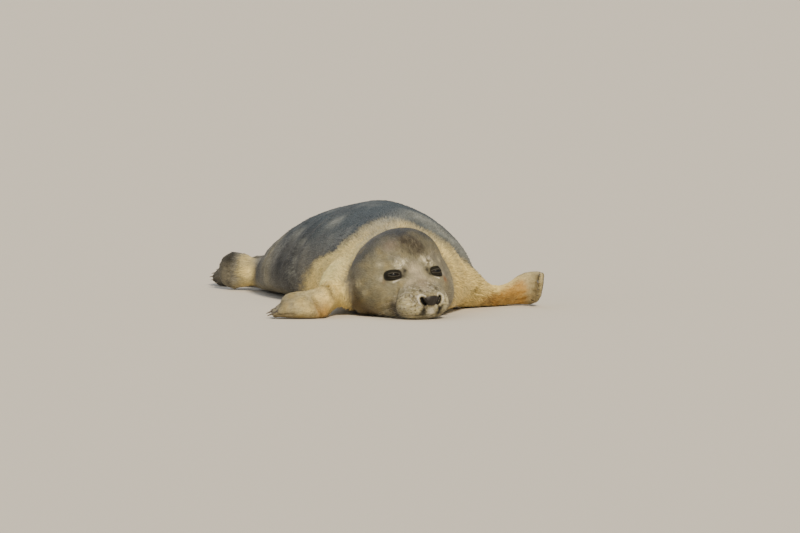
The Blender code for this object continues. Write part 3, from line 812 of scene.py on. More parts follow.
# Patches of the face: middle in the head's frame, reach in mm, colour, strength, both sides.
facePatches = [
    ((0.060, 0.045, 0.075), 26, "taupe", 0.50, True),
    # Painted shade towards the head's outline, at its back and sides.
    ((0.0857, -0.004, 0.057), 20, "sideShadeAndMottle", 0.60, True),
    ((0.0668, 0.005, 0.107), 24, "rim", 0.45, True),
    ((0.000, 0.016, 0.141), 36, "rim", 0.95, False),
    ((-0.040, 0.020, 0.125), 26, "rim", 0.70, False),
    ((0.0277, 0.039, 0.123), 13, "pinkGrey", 0.70, False),
    ((-0.001, 0.039, 0.1296), 14, "crown", 0.90, False),
    ((-0.005, 0.053, 0.117), 16, "crown", 0.85, False),
    ((-0.018, 0.053, 0.114), 15, "crown", 0.75, False),
    ((-0.005, 0.063, 0.107), 8, "crown", 0.40, False),
    ((0.004, 0.084, 0.084), 11, "bridge", 0.85, False),
    ((0.001, 0.100, 0.072), 12, "bridge", 0.65, False),
    ((0.001, 0.110, 0.061), 11, "pinkGrey", 0.45, False),
    ((0.000, 0.121, 0.054), 8, "bridge", 0.45, False),
    ((0.021, 0.099, 0.062), 9, "bridge", 0.45, True),
    # Painted shade on the head's left side, which faces away from the light.
    ((-0.060, 0.045, 0.075), 26, "sideShadeAndMottle", 0.70, False),
    ((-0.062, 0.058, 0.045), 22, "sideShadeAndMottle", 0.65, False),
    ((-0.045, 0.052, 0.100), 16, "sideShadeAndMottle", 0.55, False),
    ((0.0235, 0.072, 0.094), 5.5, "brow", 0.45, True),
    ((0.0300, 0.072, 0.091), 5.0, "brow", 0.35, True),
    ((0.0165, 0.070, 0.097), 4.5, "brow", 0.50, True),
    ((0.0540, 0.048, 0.092), 4.5, "brow", 0.35, True),
    ((0.0564, 0.061, 0.070), 4.0, "white", 0.20, True),
    ((0.0796, 0.017, 0.060), 6.0, "brow", 0.60, True),
    ((0.0763, 0.034, 0.044), 7.0, "brow", 0.40, True),
    ((0.0584, 0.068, 0.051), 10, "olive", 0.35, True),
    ((0.0514, 0.079, 0.030), 12, "olive", 0.65, True),
    # Painted shade under the cheeks, where they face down, with some dirt.
    ((0.064, 0.014, 0.009), 24, "dirtAndShade", 0.60, True),
    ((0.054, 0.041, 0.005), 18, "dirtAndShade", 0.50, True),
    ((0.080, 0.000, 0.026), 16, "dirtAndShade", 0.40, True),
    ((0.0355, 0.118, 0.030), 13, "pad", 0.90, True),
    ((0.0208, 0.127, 0.018), 10, "pad", 0.90, True),
    ((0.0310, 0.115, 0.010), 10, "pad", 0.80, True),
    ((0.0250, 0.114, 0.048), 8, "taupe", 0.60, True),
    ((-0.0584, 0.064, 0.0610), 6.0, "tear", 0.85, False),
    ((0.0535, 0.066, 0.0640), 4.0, "tear", 0.25, False),
]
# The darkest marks, laid over all others.
darkPatches = [
    ((-0.0045, 0.128, 0.0160), 5.5, "white", 0.60, False),
    # The nostrils' dark skin, deepened to near black with painted shade inside them.
    ((0.0078, 0.1268, 0.0185), 5.0, "hole", 0.95, False),
    ((0.0105, 0.1260, 0.0125), 6.0, "hole", 0.95, False),
    ((-0.0206, 0.1282, 0.0180), 5.5, "hole", 0.95, False),
    ((-0.0192, 0.1250, 0.0115), 5.5, "hole", 0.95, False),
    ((-0.0255, 0.1268, 0.0215), 4.0, "hole", 0.70, False),
    ((0.0100, 0.119, 0.0505), 3.6, "spot", 0.90, False),
    ((-0.0210, 0.114, 0.0525), 3.6, "spot", 0.90, False),
    ((0.0205, 0.080, 0.0815), 5.0, "lid", 0.95, True),
    ((0.0250, 0.083, 0.0745), 4.6, "lid", 0.95, True),
    ((0.0470, 0.086, 0.0270), 8.5, "spot", 0.70, True),
    ((0.0445, 0.083, 0.0170), 10.0, "spot", 0.90, True),
    ((0.0420, 0.084, 0.0065), 10.0, "spot", 0.95, True),
]
# A pale streak under each lower lid, and one from the left eye down to its pad: pale fur with a painted
# highlight along the muzzle's lit edge.
lowerLidLine = (
    (0.0290, 0.084, 0.0705), (0.0323, 0.0825, 0.0690), (0.0385, 0.080, 0.0650),
    (0.0440, 0.077, 0.0640),
)
paleFurAndHighlightLine = (
    (-0.038, 0.086, 0.070), (-0.0455, 0.087, 0.056), (-0.043, 0.101, 0.045), (-0.037, 0.117, 0.036),
)
# Where the cream of neck and chest ends: height above the floor, then how far back on each side.
creamEnds = {
    "height": (0.0, 0.024, 0.050, 0.075, 0.087, 0.099, 0.118, 0.136, 0.148, 0.160, 0.172),
    "right": (0.006, -0.023, -0.050, -0.074, -0.102, -0.150, -0.160, -0.158, -0.164, -0.176, -0.180),
    "left": (-0.010, -0.050, -0.120, -0.172, -0.182, -0.194, -0.206, -0.212, -0.210, -0.205, -0.200),
}
# Light and dark of the trunk: middle on the floor's frame, reach in mm, colour, strength.
bodyPatches = [
    # Dark fur with painted shade on the right flank, which faces away from the light.
    ((-0.146, 0.050, 0.060), 40, "slateAndShade", 0.80),
    ((-0.138, 0.011, 0.080), 24, "slateAndShade", 0.75),
    ((-0.148, 0.020, 0.030), 28, "slateAndShade", 0.95),
    ((-0.105, 0.012, 0.118), 26, "slateAndShade", 0.55),
    # Paler fur on the ridges between the flank's folds, with a painted highlight where they catch the
    # light.
    ((-0.182, 0.140, 0.070), 22, "paleBandHighlight", 0.95),
    ((-0.180, 0.120, 0.045), 24, "paleBandHighlight", 0.85),
    ((-0.184, 0.130, 0.020), 24, "paleBandHighlight", 0.60),
    ((-0.160, 0.150, 0.100), 20, "paleBandHighlight", 0.55),
    ((-0.118, 0.010, 0.101), 8, "silver", 0.45),
    ((-0.139, 0.001, 0.052), 8, "silver", 0.50),
    ((-0.064, -0.026, 0.1395), 18, "silver", 0.70),
    ((-0.128, 0.067, 0.117), 15, "silver", 0.45),
    # Painted shade behind the pale ankle, low on the rump.
    ((-0.202, 0.205, 0.052), 22, "slateAndShade", 0.55),
    ((-0.206, 0.236, 0.030), 14, "dirtAndShade", 0.45),
    ((-0.2198, 0.254, 0.033), 15, "cream", 0.95),
    ((-0.2160, 0.262, 0.012), 13, "cream", 0.75),
    ((-0.2180, 0.266, 0.054), 11, "cream", 0.70),
    ((-0.050, 0.020, 0.155), 22, "slateAndShade", 0.35),
    ((0.130, 0.040, 0.100), 38, "slateAndShade", 0.35),
    ((0.080, 0.150, 0.110), 36, "slateAndShade", 0.35),
    ((0.060, 0.010, 0.165), 26, "slateAndShade", 0.30),
]
# Marks that lie over the cream.
creamPatches = [
    ((0.112, -0.150, 0.125), 36, "silver", 0.85),
    ((0.078, -0.125, 0.150), 34, "silver", 0.75),
    ((0.030, -0.165, 0.150), 28, "silver", 0.55),
    ((0.145, -0.145, 0.100), 26, "silver", 0.80),
    ((0.170, -0.140, 0.070), 20, "silver", 0.60),
    ((0.132, -0.212, 0.098), 10, "grey", 0.40),
    ((0.137, -0.218, 0.084), 11, "grey", 0.55),
    ((0.142, -0.224, 0.066), 11, "grey", 0.45),
    # Painted light on the cream of the right shoulder.
    ((-0.080, -0.245, 0.078), 34, "litCream", 0.80),
    ((-0.070, -0.300, 0.055), 24, "litCream", 0.60),
]
# Where the pale rings of the brows are speckled, and the middle of the dark crown.
browMiddle = (0.0235, 0.072, 0.094)
crownMiddle = (-0.006, 0.052, 0.118)


def linearColour(name):
    return np.array(hexColour(colours[name])[:3])


# Smooth random values from 0 to 1 that change over about this size.
def cloud(places, size, seed):
    grid = np.random.default_rng(seed).random((32, 32, 32))
    at = places / size
    cell = np.floor(at).astype(int)
    part = at - cell
    part = part * part * (3 - 2 * part)
    total = np.zeros(len(places))
    for dx in (0, 1):
        for dy in (0, 1):
            for dz in (0, 1):
                share = np.abs(1 - dx - part[:, 0]) * np.abs(1 - dy - part[:, 1])
                share = share * np.abs(1 - dz - part[:, 2])
                total += share * grid[tuple(((cell + (dx, dy, dz)) % 32).T)]
    return total


# Two sizes of cloud together, from about -1 to 1.
def mottle(places, size, seed):
    return (cloud(places, size, seed) - 0.5) * 1.3 + (cloud(places, size / 2.7, seed + 1) - 0.5) * 0.7


def blend(base, name, share):
    share = np.clip(share, 0, 1)[:, None]
    return base * (1 - share) + linearColour(name) * share


# Dark bare skin round each eye, and the rims of its lids, where a painted wet sheen makes them paler.
def eyeMasks(places):
    dark, rim = np.zeros(len(places)), np.zeros(len(places))
    for side in (1, -1):
        a, b, c, _ = eyeCoordinates(places, side)
        half, high = lidSet["darkHalf"]
        oval = (np.abs((a - 0.4 * mm) / half) ** 3 + np.abs((b + 0.6 * mm) / high) ** 3) ** (1 / 3)
        dark = np.maximum(dark, fadeOut(0.84, 1.08, oval) * (c > 0))
        gap, _ = slitGap(a, b)
        near = (np.abs(a + lidSet["inward"]) < lidSet["slitHalf"] + 1 * mm) * (c > 0)
        rim = np.maximum(rim, bump(gap, 1.5 * mm, 0.7 * mm) * near)
    return dark, rim


# The dark leather between and round the nostrils, and the pale rings of their wings.
def noseMasks(places):
    half, high = noseSet["padHalf"]
    across = (places[:, 0] - noseSet["shift"]) / half
    level = (places[:, 2] - noseSet["padMiddle"]) / high
    across = across * (1 + 0.6 * np.clip(-level, 0, 1))
    oval = (np.abs(across) ** 3 + np.abs(level) ** 3) ** (1 / 3)
    pad = fadeOut(0.86, 1.1, oval) * (places[:, 1] > noseSet["padFront"])
    ring = np.zeros(len(places))
    for side in (1, -1):
        gap = nostrilDistance(places, side)
        pad = np.maximum(pad, fadeOut(2.6 * mm, 3.8 * mm, gap))
        wing = bump(gap, *noseSet["ring"]) * outsideNostril(places, side)
        ring = np.maximum(ring, wing * (1.0 if side > 0 else 0.7))
    return pad, ring


# Where the whiskers of each pad and brow stand in the head's frame: the first one, the steps to
# the next in its row and to the next row, and how many there are in each row.
whiskerPlaces = {
    "pad": ((0.022, 0.124, 0.0125), (0.0042, -0.0052, -0.0006), (0, -0.0012, 0.0066), (5, 6, 7, 6, 5)),
    "brow": ((0.020, 0.070, 0.0965), (0.003, -0.002, 0), (0, 0, 0), (4,)),
}


# The root of every whisker on the skin, and the skin's direction there.
def whiskerRoots(skinTree):
    found = []
    for side in (1, -1):
        for kind, (first, step, rise, counts) in whiskerPlaces.items():
            for row, count in enumerate(counts):
                for place in range(count):
                    guess = np.array(first) + np.array(step) * place + np.array(rise) * row
                    guess = Vector(fromHead(mirrored(guess, side)))
                    spot, normal, _, _ = skinTree.find_nearest(guess)
                    found.append((side, kind, row, place, np.array(spot), np.array(normal)))
    return found


# Specks of about this size, only where the share asks for them. The cover makes them more or fewer.
def specks(base, places, size, seed, name, share, cover=-0.45):
    found = np.clip(mottle(places, size, seed) * 4.5 + cover, 0, 1)
    return blend(base, name, found * share)


def headColour(skin, places, roots):
    base = np.tile(linearColour("taupe"), (len(places), 1))
    # Painted shade: the head darkens towards its outline, blue-grey above and brownish grey below.
    rim = fadeOut(-0.015, 0.048, places[:, 1] + 0.010 * mottle(places, 0.02, 11))
    base = blend(base, "rim", rim * smoothStep(0.05, 0.11, places[:, 2]) * 0.9)
    base = blend(base, "sideShadeAndMottle", rim * fadeOut(0.05, 0.11, places[:, 2]) * 0.7)
    clouds = mottle(places, 15 * mm, 61)
    base = blend(base, "olive", np.clip(clouds, 0, 1) * 0.9)
    base = blend(base, "sideShadeAndMottle", np.clip(-clouds, 0, 1) * 0.9)
    wobble = 1 + 0.45 * mottle(places, 6 * mm, 3)
    base = patched(base, places, facePatches, wobble)
    base = blend(base, "white", 0.55 * crease(places, paleFurAndHighlightLine, 2.4 * mm))
    onCrown = bump(gapTo(places, crownMiddle), 0, 24 * mm)
    base = specks(base, places, 5.0 * mm, 21, "crown", onCrown * 0.95, -0.1)
    base = specks(base, places, 3.6 * mm, 22, "crownLight", onCrown * 0.60)
    onBrow = np.zeros(len(places))
    for side in (1, -1):
        onBrow = np.maximum(onBrow, bump(gapTo(places, mirrored(browMiddle, side)), 0, 10 * mm))
    base = specks(base, places, 3.6 * mm, 23, "white", onBrow * 0.75)
    base = specks(base, places, 3.4 * mm, 24, "crown", onBrow * 0.85)
    muzzle = np.linalg.norm((places - (0, 0.112, 0.030)) / (1.7, 1, 1.1), axis=1)
    rows = places * (0.55, 0.55, 1.5)
    base = specks(base, rows, 3.6 * mm, 31, "spot", bump(muzzle, 0, 28 * mm) * 0.90, 0.25)
    base = specks(base, places, 3.0 * mm, 33, "white", bump(muzzle, 0, 28 * mm) * 0.45)
    for _, kind, _, _, spot, _ in roots:
        if kind == "pad":
            base = blend(base, "spot", 0.8 * bump(gapTo(skin.places, spot), 0, 1.2 * mm))
    # Painted shade in the creases under the nose, along the mouth and behind the pads.
    for name in ("underNoseRight", "underNoseLeft", "mouth", "behindPad"):
        line, half, _, paired = faceCreases[name]
        for side in sidesOf(paired):
            share = crease(places, mirrored(line, side), half * mm * 1.1)
            base = blend(base, "spot", share * (0.55 if name == "behindPad" else 0.9))
    for side in (1, -1):
        base = blend(base, "white", 0.75 * crease(places, mirrored(lowerLidLine, side), 1.8 * mm))
    return patched(base, places, darkPatches, wobble)


# Lays the patches of one list over the colours, on both sides where one says that it is paired.
def patched(base, places, patches, wobble):
    for middle, reach, name, strength, *paired in patches:
        for side in sidesOf(any(paired)):
            gap = gapTo(places, mirrored(middle, side))
            base = blend(base, name, strength * bump(gap, 0, reach * mm) * wobble)
    return base


def trunkColour(skin, right):
    places = skin.places
    height = places[:, 2]
    base = np.tile(linearColour("grey"), (len(places), 1))
    base = blend(base, "back", smoothStep(0.06, 0.135, height + 0.02 * mottle(places, 30 * mm, 9)))
    base = blend(base, "belly", fadeOut(0.002, 0.022, height) * 0.8)
    broad = mottle(places, 40 * mm, 5)
    base = blend(base, "slateAndShade", np.clip(broad - 0.10, 0, 1) * 0.6)
    base = blend(base, "silver", np.clip(-broad - 0.2, 0, 1) * 0.5)
    wobble = 1 + 0.5 * mottle(places, 16 * mm, 7)
    base = patched(base, places, bodyPatches, wobble)
    onFlank = bump(gapTo(places, (-0.142, 0.001, 0.055)), 0, 36 * mm)
    base = specks(base, places, 3.5 * mm, 71, "silver", onFlank * 0.6)
    # Painted shade in the folds of the flank and rump.
    for name in ("flankLow", "flankFore", "flankRear", "rump"):
        line, half, _ = bodyCreases[name]
        base = blend(base, "slateAndShade", 0.5 * crease(places, line, 1.1 * half * mm, foldSet["ends"]))
    ends = [np.interp(height, creamEnds["height"], creamEnds[side]) for side in ("right", "left")]
    edge = ends[1] + (ends[0] - ends[1]) * smoothStep(-0.03, 0.03, right)
    edge += 0.012 * mottle(places, 16 * mm, 13) + 0.008 * mottle(places, 5 * mm, 15)
    soft = (18 + 16 * smoothStep(0.085, 0.130, height)) * mm
    cream = fadeOut(-1, 1, (places[:, 1] - edge) / soft)
    base = blend(base, "cream", cream)
    high = smoothStep(0.095, 0.140, height + 0.02 * mottle(places, 10 * mm, 43))
    base = blend(base, "collar", cream * high * 0.85)
    shade = np.clip(mottle(places, 24 * mm, 17) + 0.05, 0, 1) * 0.45
    base = blend(base, "creamDeep", cream * shade)
    base = patched(base, places, creamPatches, wobble)
    # Painted shade in the folds of the armpit and left arm.
    for name in ("armpit", "leftArm"):
        line, half, _ = bodyCreases[name]
        base = blend(base, "foldShade", 0.85 * crease(places, line, 0.9 * half * mm, 0.30) * cream)
    # Darker towards the floor.
    low = fadeOut(0.003, 0.026, height + 0.012 * mottle(places, 12 * mm, 19))
    return blend(base, "dirtAndShade", low * 0.35)


# The tan of the left flipper's palm, that fades out upwards and towards the body.
def palmColour(base, skin, normals):
    places = skin.places
    facing = smoothStep(0.05, 0.65, -normals[:, 1] - 0.25 * np.clip(normals[:, 2], 0, 1))
    top = np.interp(places[:, 0], (0.16, 0.20, 0.247, 0.27), (0.022, 0.030, 0.048, 0.052))
    low = fadeOut(-16 * mm, 4 * mm, places[:, 2] - top + 0.006 * mottle(places, 9 * mm, 26))
    reach = places[:, 0] + 0.006 * mottle(places, 9 * mm, 28)
    palm = facing * low * smoothStep(0.160, 0.200, reach) * fadeOut(0.254, 0.268, reach)
    palm *= (places[:, 1] > -0.20) & (places[:, 1] < -0.05)
    base = blend(base, "palm", palm * (1.00 + 0.35 * mottle(places, 7 * mm, 27)))
    dirt = palm * fadeOut(0.005, 0.030, places[:, 2])
    base = specks(base, places, 4 * mm, 30, "dirtAndShade", dirt * 0.7)
    base = specks(base, places, 4 * mm, 32, "cream", palm * 0.20)
    # Painted shade in the fold of the palm.
    line, half, _ = bodyCreases["palmFold"]
    return blend(base, "spot", 0.85 * crease(places, line, 0.8 * half * mm))


# Colours of a fore flipper. The share runs from 0 where it starts to 1 at its tip.
def foreColour(places, limb, share):
    base = np.tile(linearColour("cream"), (len(places), 1))
    base = blend(base, "creamDeep", np.clip(mottle(places, 18 * mm, 23) + 0.2, 0, 1) * 0.6)
    # Painted shade in the folds of the armpit and wrist.
    for name in ("armpit", "wrist"):
        line, half, _ = bodyCreases[name]
        base = blend(base, "foldShade", 0.95 * crease(places, line, 1.1 * half * mm, 0.30))
    if limb == "fore_flipper_left":
        base = blend(base, "edge", smoothStep(0.55, 0.80, share) * 0.85)
    else:
        pale = np.clip(mottle(places, 15 * mm, 45) + 0.35, 0, 1)
        base = blend(base, "finger", smoothStep(0.70, 0.94, share + 0.05 * mottle(places, 8 * mm, 44)))
        base = blend(base, "collar", smoothStep(0.60, 0.72, share) * (1 - pale) * 0.6)
        arm = bump(gapTo(places, (-0.079, -0.360, 0.010)), 0, 20 * mm)
        base = blend(base, "palm", arm * 0.85)
    # Darker towards the floor.
    low = fadeOut(0.001, 0.014, places[:, 2] + 0.005 * mottle(places, 6 * mm, 29))
    return blend(base, "dirtAndShade", low * 0.45)


def hindColour(places, limb, share):
    share = share + 0.05 * mottle(places, 9 * mm, 35)
    base = np.tile(linearColour("hind"), (len(places), 1))
    base = blend(base, "hindDark", smoothStep(0.78, 1.02, share) * 0.9)
    base = blend(base, "hindDark", smoothStep(0.034, 0.056, places[:, 2]) * 0.85)
    base = blend(base, "hindDark", np.clip(mottle(places, 12 * mm, 33), 0, 1) * 0.5)
    base = blend(base, "cream", fadeOut(0.34, 0.58, share))
    shaded = 0.65 if limb.endswith("left") else 0
    return blend(base, "hindDark", smoothStep(0.30, 0.70, share) * shaded)


def limbColours(places, limb, lines):
    share = lines[limb][1] / stepLengths(coatLines[limb]).sum()
    if limb.startswith("fore"):
        return foreColour(places, limb, share)
    if limb == "tail":
        plain = np.tile(linearColour("hind"), (len(places), 1))
        return blend(plain, "slateAndShade", np.full(len(places), 0.2))
    return hindColour(places, limb, share)


# The way the coat lies at each point: back from the nose, along the trunk, down the limbs.
def layOfCoat(skin, shares, lines, headPlaces, normals):
    _, _, heading, offset = lines["spine"]
    fromNose = (headPlaces - noseTip) @ headTurn.T
    onHead = shares["head"][:, None]
    down = np.array((0, 0, -0.35)) * smoothStep(0.0, 0.9, 1 - np.abs(normals[:, 2:3]))
    down = down * (1 + 2.6 * shares["neck"][:, None])
    lay = unit(fromNose) * onHead + (heading + down + 0.25 * unit(offset)) * (1 - onHead)
    for limb in limbNames:
        gap, _, along, _ = lines[limb]
        share = np.maximum(shares[limb], bump(gap, 0, 0.038) * shares["trunk"])[:, None]
        lay = lay * (1 - share) + along * share
    lay = skin.spread(lay, 40)
    return unit(lay - normals * (lay * normals).sum(axis=1, keepdims=True))


# Coordinates in metres that run along the coat, beside it and up, for the grain of the hair.
def grainOfCoat(shares, lines, headPlaces):
    gap = headPlaces - noseTip
    reach = np.linalg.norm(gap, axis=1, keepdims=True)
    onHead = np.hstack([reach, 0.09 * unit(gap)[:, ::2]])
    grains = {"head": onHead}
    for name, (_, along, heading, offset) in lines.items():
        beside = unit(np.cross(heading, (0, 0, 1)))
        above = np.cross(beside, heading)
        parts = [along, (offset * beside).sum(axis=1), (offset * above).sum(axis=1)]
        grains[name] = np.stack(parts, axis=1)
    grain = grains["spine"]
    for name in ["head"] + limbNames:
        grain = np.where((shares[name] > 0.5)[:, None], grains[name], grain)
    return grain


def storeValues(mesh, name, values, kind="FLOAT", field="value"):
    layer = mesh.attributes.new(name, kind, "POINT")
    flat = np.ascontiguousarray(values, dtype=np.int32 if kind == "INT" else np.float32).ravel()
    layer.data.foreach_set(field, flat)


# Lengths in mm of the tufts on each kind of solid, and how they are strewn.
coatGrowth = {
    "length": {"head": 6.2, "neck": 9.5, "trunk": 9.5, "tail": 6.0, "fore": 7.5, "hind": 6.0},
    "creamLength": 2.5,  # the last of the birth coat is longer
    "shortLimbEnds": 0.50,  # lost towards the ends of the limbs
    "shortMuzzle": 0.36,  # left at the nose
    "shortEyes": 0.55,  # lost round the eyes
    "spacing": 0.40,  # square of the least gap between tufts, of the room each has on average
    "tries": 3.5,  # roots tried for each tuft that is wanted
    "seed": 100,
    "softNormals": 0.62,  # how far a tuft is lit as the skin under it
}
trunkCuts = (0.25, 0.40)  # metres along the spine where shoulders and flanks end


def lengthOfCoat(shares, lines, headPlaces, cream, onHead):
    length = sumOf(shares, coatGrowth["length"]) * mm
    length += coatGrowth["creamLength"] * mm * cream * (shares["trunk"] + shares["neck"])
    for limb in limbNames:
        along = lines[limb][1]
        share = smoothStep(0.3, 0.95, along / along.max()) * shares[limb]
        length *= 1 - coatGrowth["shortLimbEnds"] * share
    muzzle = fadeOut(0.035, 0.085, gapTo(headPlaces, noseTip))
    length *= 1 - (1 - coatGrowth["shortMuzzle"]) * muzzle * onHead
    nearEye = np.zeros(len(headPlaces))
    for side in (1, -1):
        nearEye = np.maximum(nearEye, fadeOut(0.018, 0.034, gapTo(headPlaces, eyeMiddle(side))))
    return length * (1 - coatGrowth["shortEyes"] * nearEye)


# Which coat piece each point belongs to.
def pieceOf(shares, spine, right, headPlaces):
    behind = sum((spine[1] > cut).astype(int) for cut in trunkCuts)
    onRight, onLeft = pieceNames.index("shoulderRight"), pieceNames.index("shoulderLeft")
    piece = np.where(right > 0, onRight, onLeft) + 2 * behind  # then the flanks and the rump
    hind = shares["hind_flipper_left"] + shares["hind_flipper_right"] + shares["tail"]
    rules = {
        "neck": shares["neck"] > 0.5,
        "crown": shares["head"] > 0.5,
        "face": (shares["head"] > 0.5) & (headPlaces[:, 1] > 0.052),
        "armRight": shares["fore_flipper_right"] > 0.5,
        "armLeft": shares["fore_flipper_left"] > 0.5,
        "hind": hind > 0.5,
    }
    for name, chosen in rules.items():
        piece = np.where(chosen, pieceNames.index(name), piece)
    return piece


# Works out colour, lay, length and grain at the skin's points and keeps them as attributes.
def markSkin(skin, shares, roots):
    places = skin.places
    headPlaces = toHead(places)
    normals = skin.normals()
    lines = {name: followLine(places, line) for name, line in coatLines.items()}
    spine = lines["spine"]
    right = -(spine[3] * unit(np.cross(spine[2], (0, 0, 1)))).sum(axis=1)
    colour = trunkColour(skin, right)
    for limb in limbNames:
        share = smoothStep(0.15, 0.85, shares[limb])[:, None]
        colour = colour * (1 - share) + limbColours(places, limb, lines) * share
    colour = palmColour(colour, skin, normals)
    onHead = smoothStep(0.35, 0.65, shares["head"] + 0.12 * mottle(places, 9 * mm, 41))[:, None]
    colour = colour * (1 - onHead) + headColour(skin, headPlaces, roots) * onHead
    # Painted shade in the groove between head and neck.
    colour = blend(colour, "sideShadeAndMottle", 0.75 * (shares["head"] * (1 - shares["head"]) * 4) ** 3)
    dark, rim = eyeMasks(headPlaces)
    grain = grainOfCoat(shares, lines, headPlaces)
    hairs = 0.9 * mottle(grain * (0.22, 1, 1), 3.4 * mm, 51) + 0.5 * mottle(places, 9 * mm, 53)
    colour = colour * (1 + 0.24 * hairs)[:, None]
    nose, ring = noseMasks(headPlaces)
    nose = nose * onHead[:, 0]
    colour = blend(colour, "lid", dark * 0.96)
    # A painted wet sheen on the rims of the lids.
    colour = blend(colour, "lidRimSheen", rim * 0.16)
    colour = blend(colour, "spot", 0.5 * bump(nose, 0.5, 0.35))
    colour = blend(colour, "white", ring * onHead[:, 0] * (0.6 + 0.5 * mottle(places, 5 * mm, 63)))
    colour = blend(colour, "nose", nose)
    # Painted shade: the inside of each nostril is near black.
    for side in (1, -1):
        deep = fadeOut(1.2 * mm, 2.6 * mm, nostrilDistance(headPlaces, side))
        colour = blend(colour, "hole", deep * onHead[:, 0])
    cream = fadeOut(-14 * mm, 10 * mm, places[:, 1] + 0.10)
    length = lengthOfCoat(shares, lines, headPlaces, cream, onHead[:, 0])
    bare = np.maximum(dark, smoothStep(0.2, 0.7, nose))
    under = fadeOut(0.5 * mm, 4 * mm, places[:, 2])
    density = fadeOut(0.1, 0.6, bare) * (1 - 0.85 * under)
    lay = layOfCoat(skin, shares, lines, headPlaces, normals)
    mesh = skin.mesh
    rgba = np.hstack([np.clip(colour, 0, 1), np.ones((len(places), 1))])
    storeValues(mesh, "marking", rgba, "FLOAT_COLOR", "color")
    storeValues(mesh, "skinNormal", normals, "FLOAT_VECTOR", "vector")
    storeValues(mesh, "lay", lay, "FLOAT_VECTOR", "vector")
    storeValues(mesh, "grain", grain, "FLOAT_VECTOR", "vector")
    storeValues(mesh, "coatLength", length)
    storeValues(mesh, "coatDensity", density)
    storeValues(mesh, "lanugo", cream * (1 - onHead[:, 0]))
    piece = pieceOf(shares, spine, right, headPlaces)
    storeValues(mesh, "coatPiece", piece, "INT")
    print("markings and lay of the coat")
    return dark, nose, piece


# Short dense hair pressed flat: soft sheen, fine streaks along the lay, no hard gloss. The sizes
# of the streaks and their depth are in mm.
skinFinish = {
    "strandLong": 9.0, "strandWide": 1.1, "fineLong": 4.0, "fineWide": 0.45, "deep": 0.45,
    "streak": 0.34, "rough": 0.78,
}


# What a mesh carries at each point: a colour, a direction or a number.
def carried(tree, name, output="Fac"):
    return addNode(tree, "ShaderNodeAttribute", attribute_name=name).outputs[output]


def mapped(tree, value, fromLow=0.0, fromHigh=1.0, toLow=0.0, toHigh=1.0):
    ends = {"From Min": fromLow, "From Max": fromHigh, "To Min": toLow, "To Max": toHigh}
    return addNode(tree, "ShaderNodeMapRange", {"Value": value, **ends})


def mixed(tree, share, first, second):
    return addNode(tree, "ShaderNodeMix", {"Factor": share, "A": first, "B": second}, data_type="RGBA")


# Two vectors, or a vector and a number, multiplied.
def times(tree, first, second):
    return addNode(tree, "ShaderNodeVectorMath", {0: first, 1: second}, operation="MULTIPLY")


def relief(tree, height, strength, depth):
    inputs = {"Height": height, "Strength": strength, "Distance": depth * mm}
    return addNode(tree, "ShaderNodeBump", inputs)


# Noise over the object with so many cells to a millimetre.
def grainNoise(tree, perMm, detail):
    place = addNode(tree, "ShaderNodeTexCoord").outputs["Object"]
    inputs = {"Vector": place, "Scale": perMm / mm, "Detail": detail}
    return addNode(tree, "ShaderNodeTexNoise", inputs).outputs["Fac"]


def streaks(tree, grain, long, wide, detail):
    scaled = times(tree, grain, (1 / (long * mm), 1 / (wide * mm), 1 / (wide * mm)))
    return addNode(tree, "ShaderNodeTexNoise", {"Vector": scaled, "Scale": 1.0, "Detail": detail})


def furSkinFinish():
    finish, tree, shader = newMaterial("short seal hair combed flat")
    grain = carried(tree, "grain", "Vector")
    broad = streaks(tree, grain, skinFinish["strandLong"], skinFinish["strandWide"], 2.0)
    fine = streaks(tree, grain, skinFinish["fineLong"], skinFinish["fineWide"], 3.0)
    both = addNode(tree, "ShaderNodeMath", {0: broad.outputs["Fac"], 1: fine.outputs["Fac"]})
    shade = mapped(tree, both, 0.6, 1.4, 1 - skinFinish["streak"], 1 + skinFinish["streak"])
    feed(tree, shader, {
        "Base Color": times(tree, carried(tree, "marking", "Color"), shade),
        "Normal": relief(tree, both, 0.8, skinFinish["deep"]), "Roughness": skinFinish["rough"],
        "Specular IOR Level": 0.22, "Sheen Weight": 0.08, "Sheen Roughness": 0.45,
    })
    return finish


# One tuft is a few hairs lying together: darker at its root, paler and thinner at its tip.
def tuftFinish():
    finish, tree, shader = newMaterial("seal hair in flat tufts")
    tip = mapped(tree, carried(tree, "along"), toLow=0.70, toHigh=1.16)
    own = mapped(tree, carried(tree, "shade"), toLow=0.76, toHigh=1.26)
    both = addNode(tree, "ShaderNodeMath", {0: tip, 1: own}, operation="MULTIPLY")
    feed(tree, shader, {
        "Base Color": times(tree, carried(tree, "marking", "Color"), both), "Roughness": 0.62,
        "Specular IOR Level": 0.25, "Sheen Weight": 0.06, "Sheen Roughness": 0.4,
    })
    return finish


# Bare skin of the nose, moist and pebbled.
def noseFinish():
    finish, tree, shader = newMaterial("moist nose leather")
    place = addNode(tree, "ShaderNodeTexCoord").outputs["Object"]
    pebbleSize = 0.9  # mm
    pebbles = addNode(tree, "ShaderNodeTexVoronoi", {"Vector": place, "Scale": 1 / (pebbleSize * mm)},
                      feature="SMOOTH_F1")
    feed(tree, shader, {
        "Base Color": carried(tree, "marking", "Color"),
        "Roughness": mapped(tree, grainNoise(tree, 0.22, 3.0), 0.35, 0.65, 0.46, 0.66),
        "Normal": relief(tree, pebbles.outputs["Distance"], 0.5, 0.25), "Specular IOR Level": 0.35,
    })
    return finish


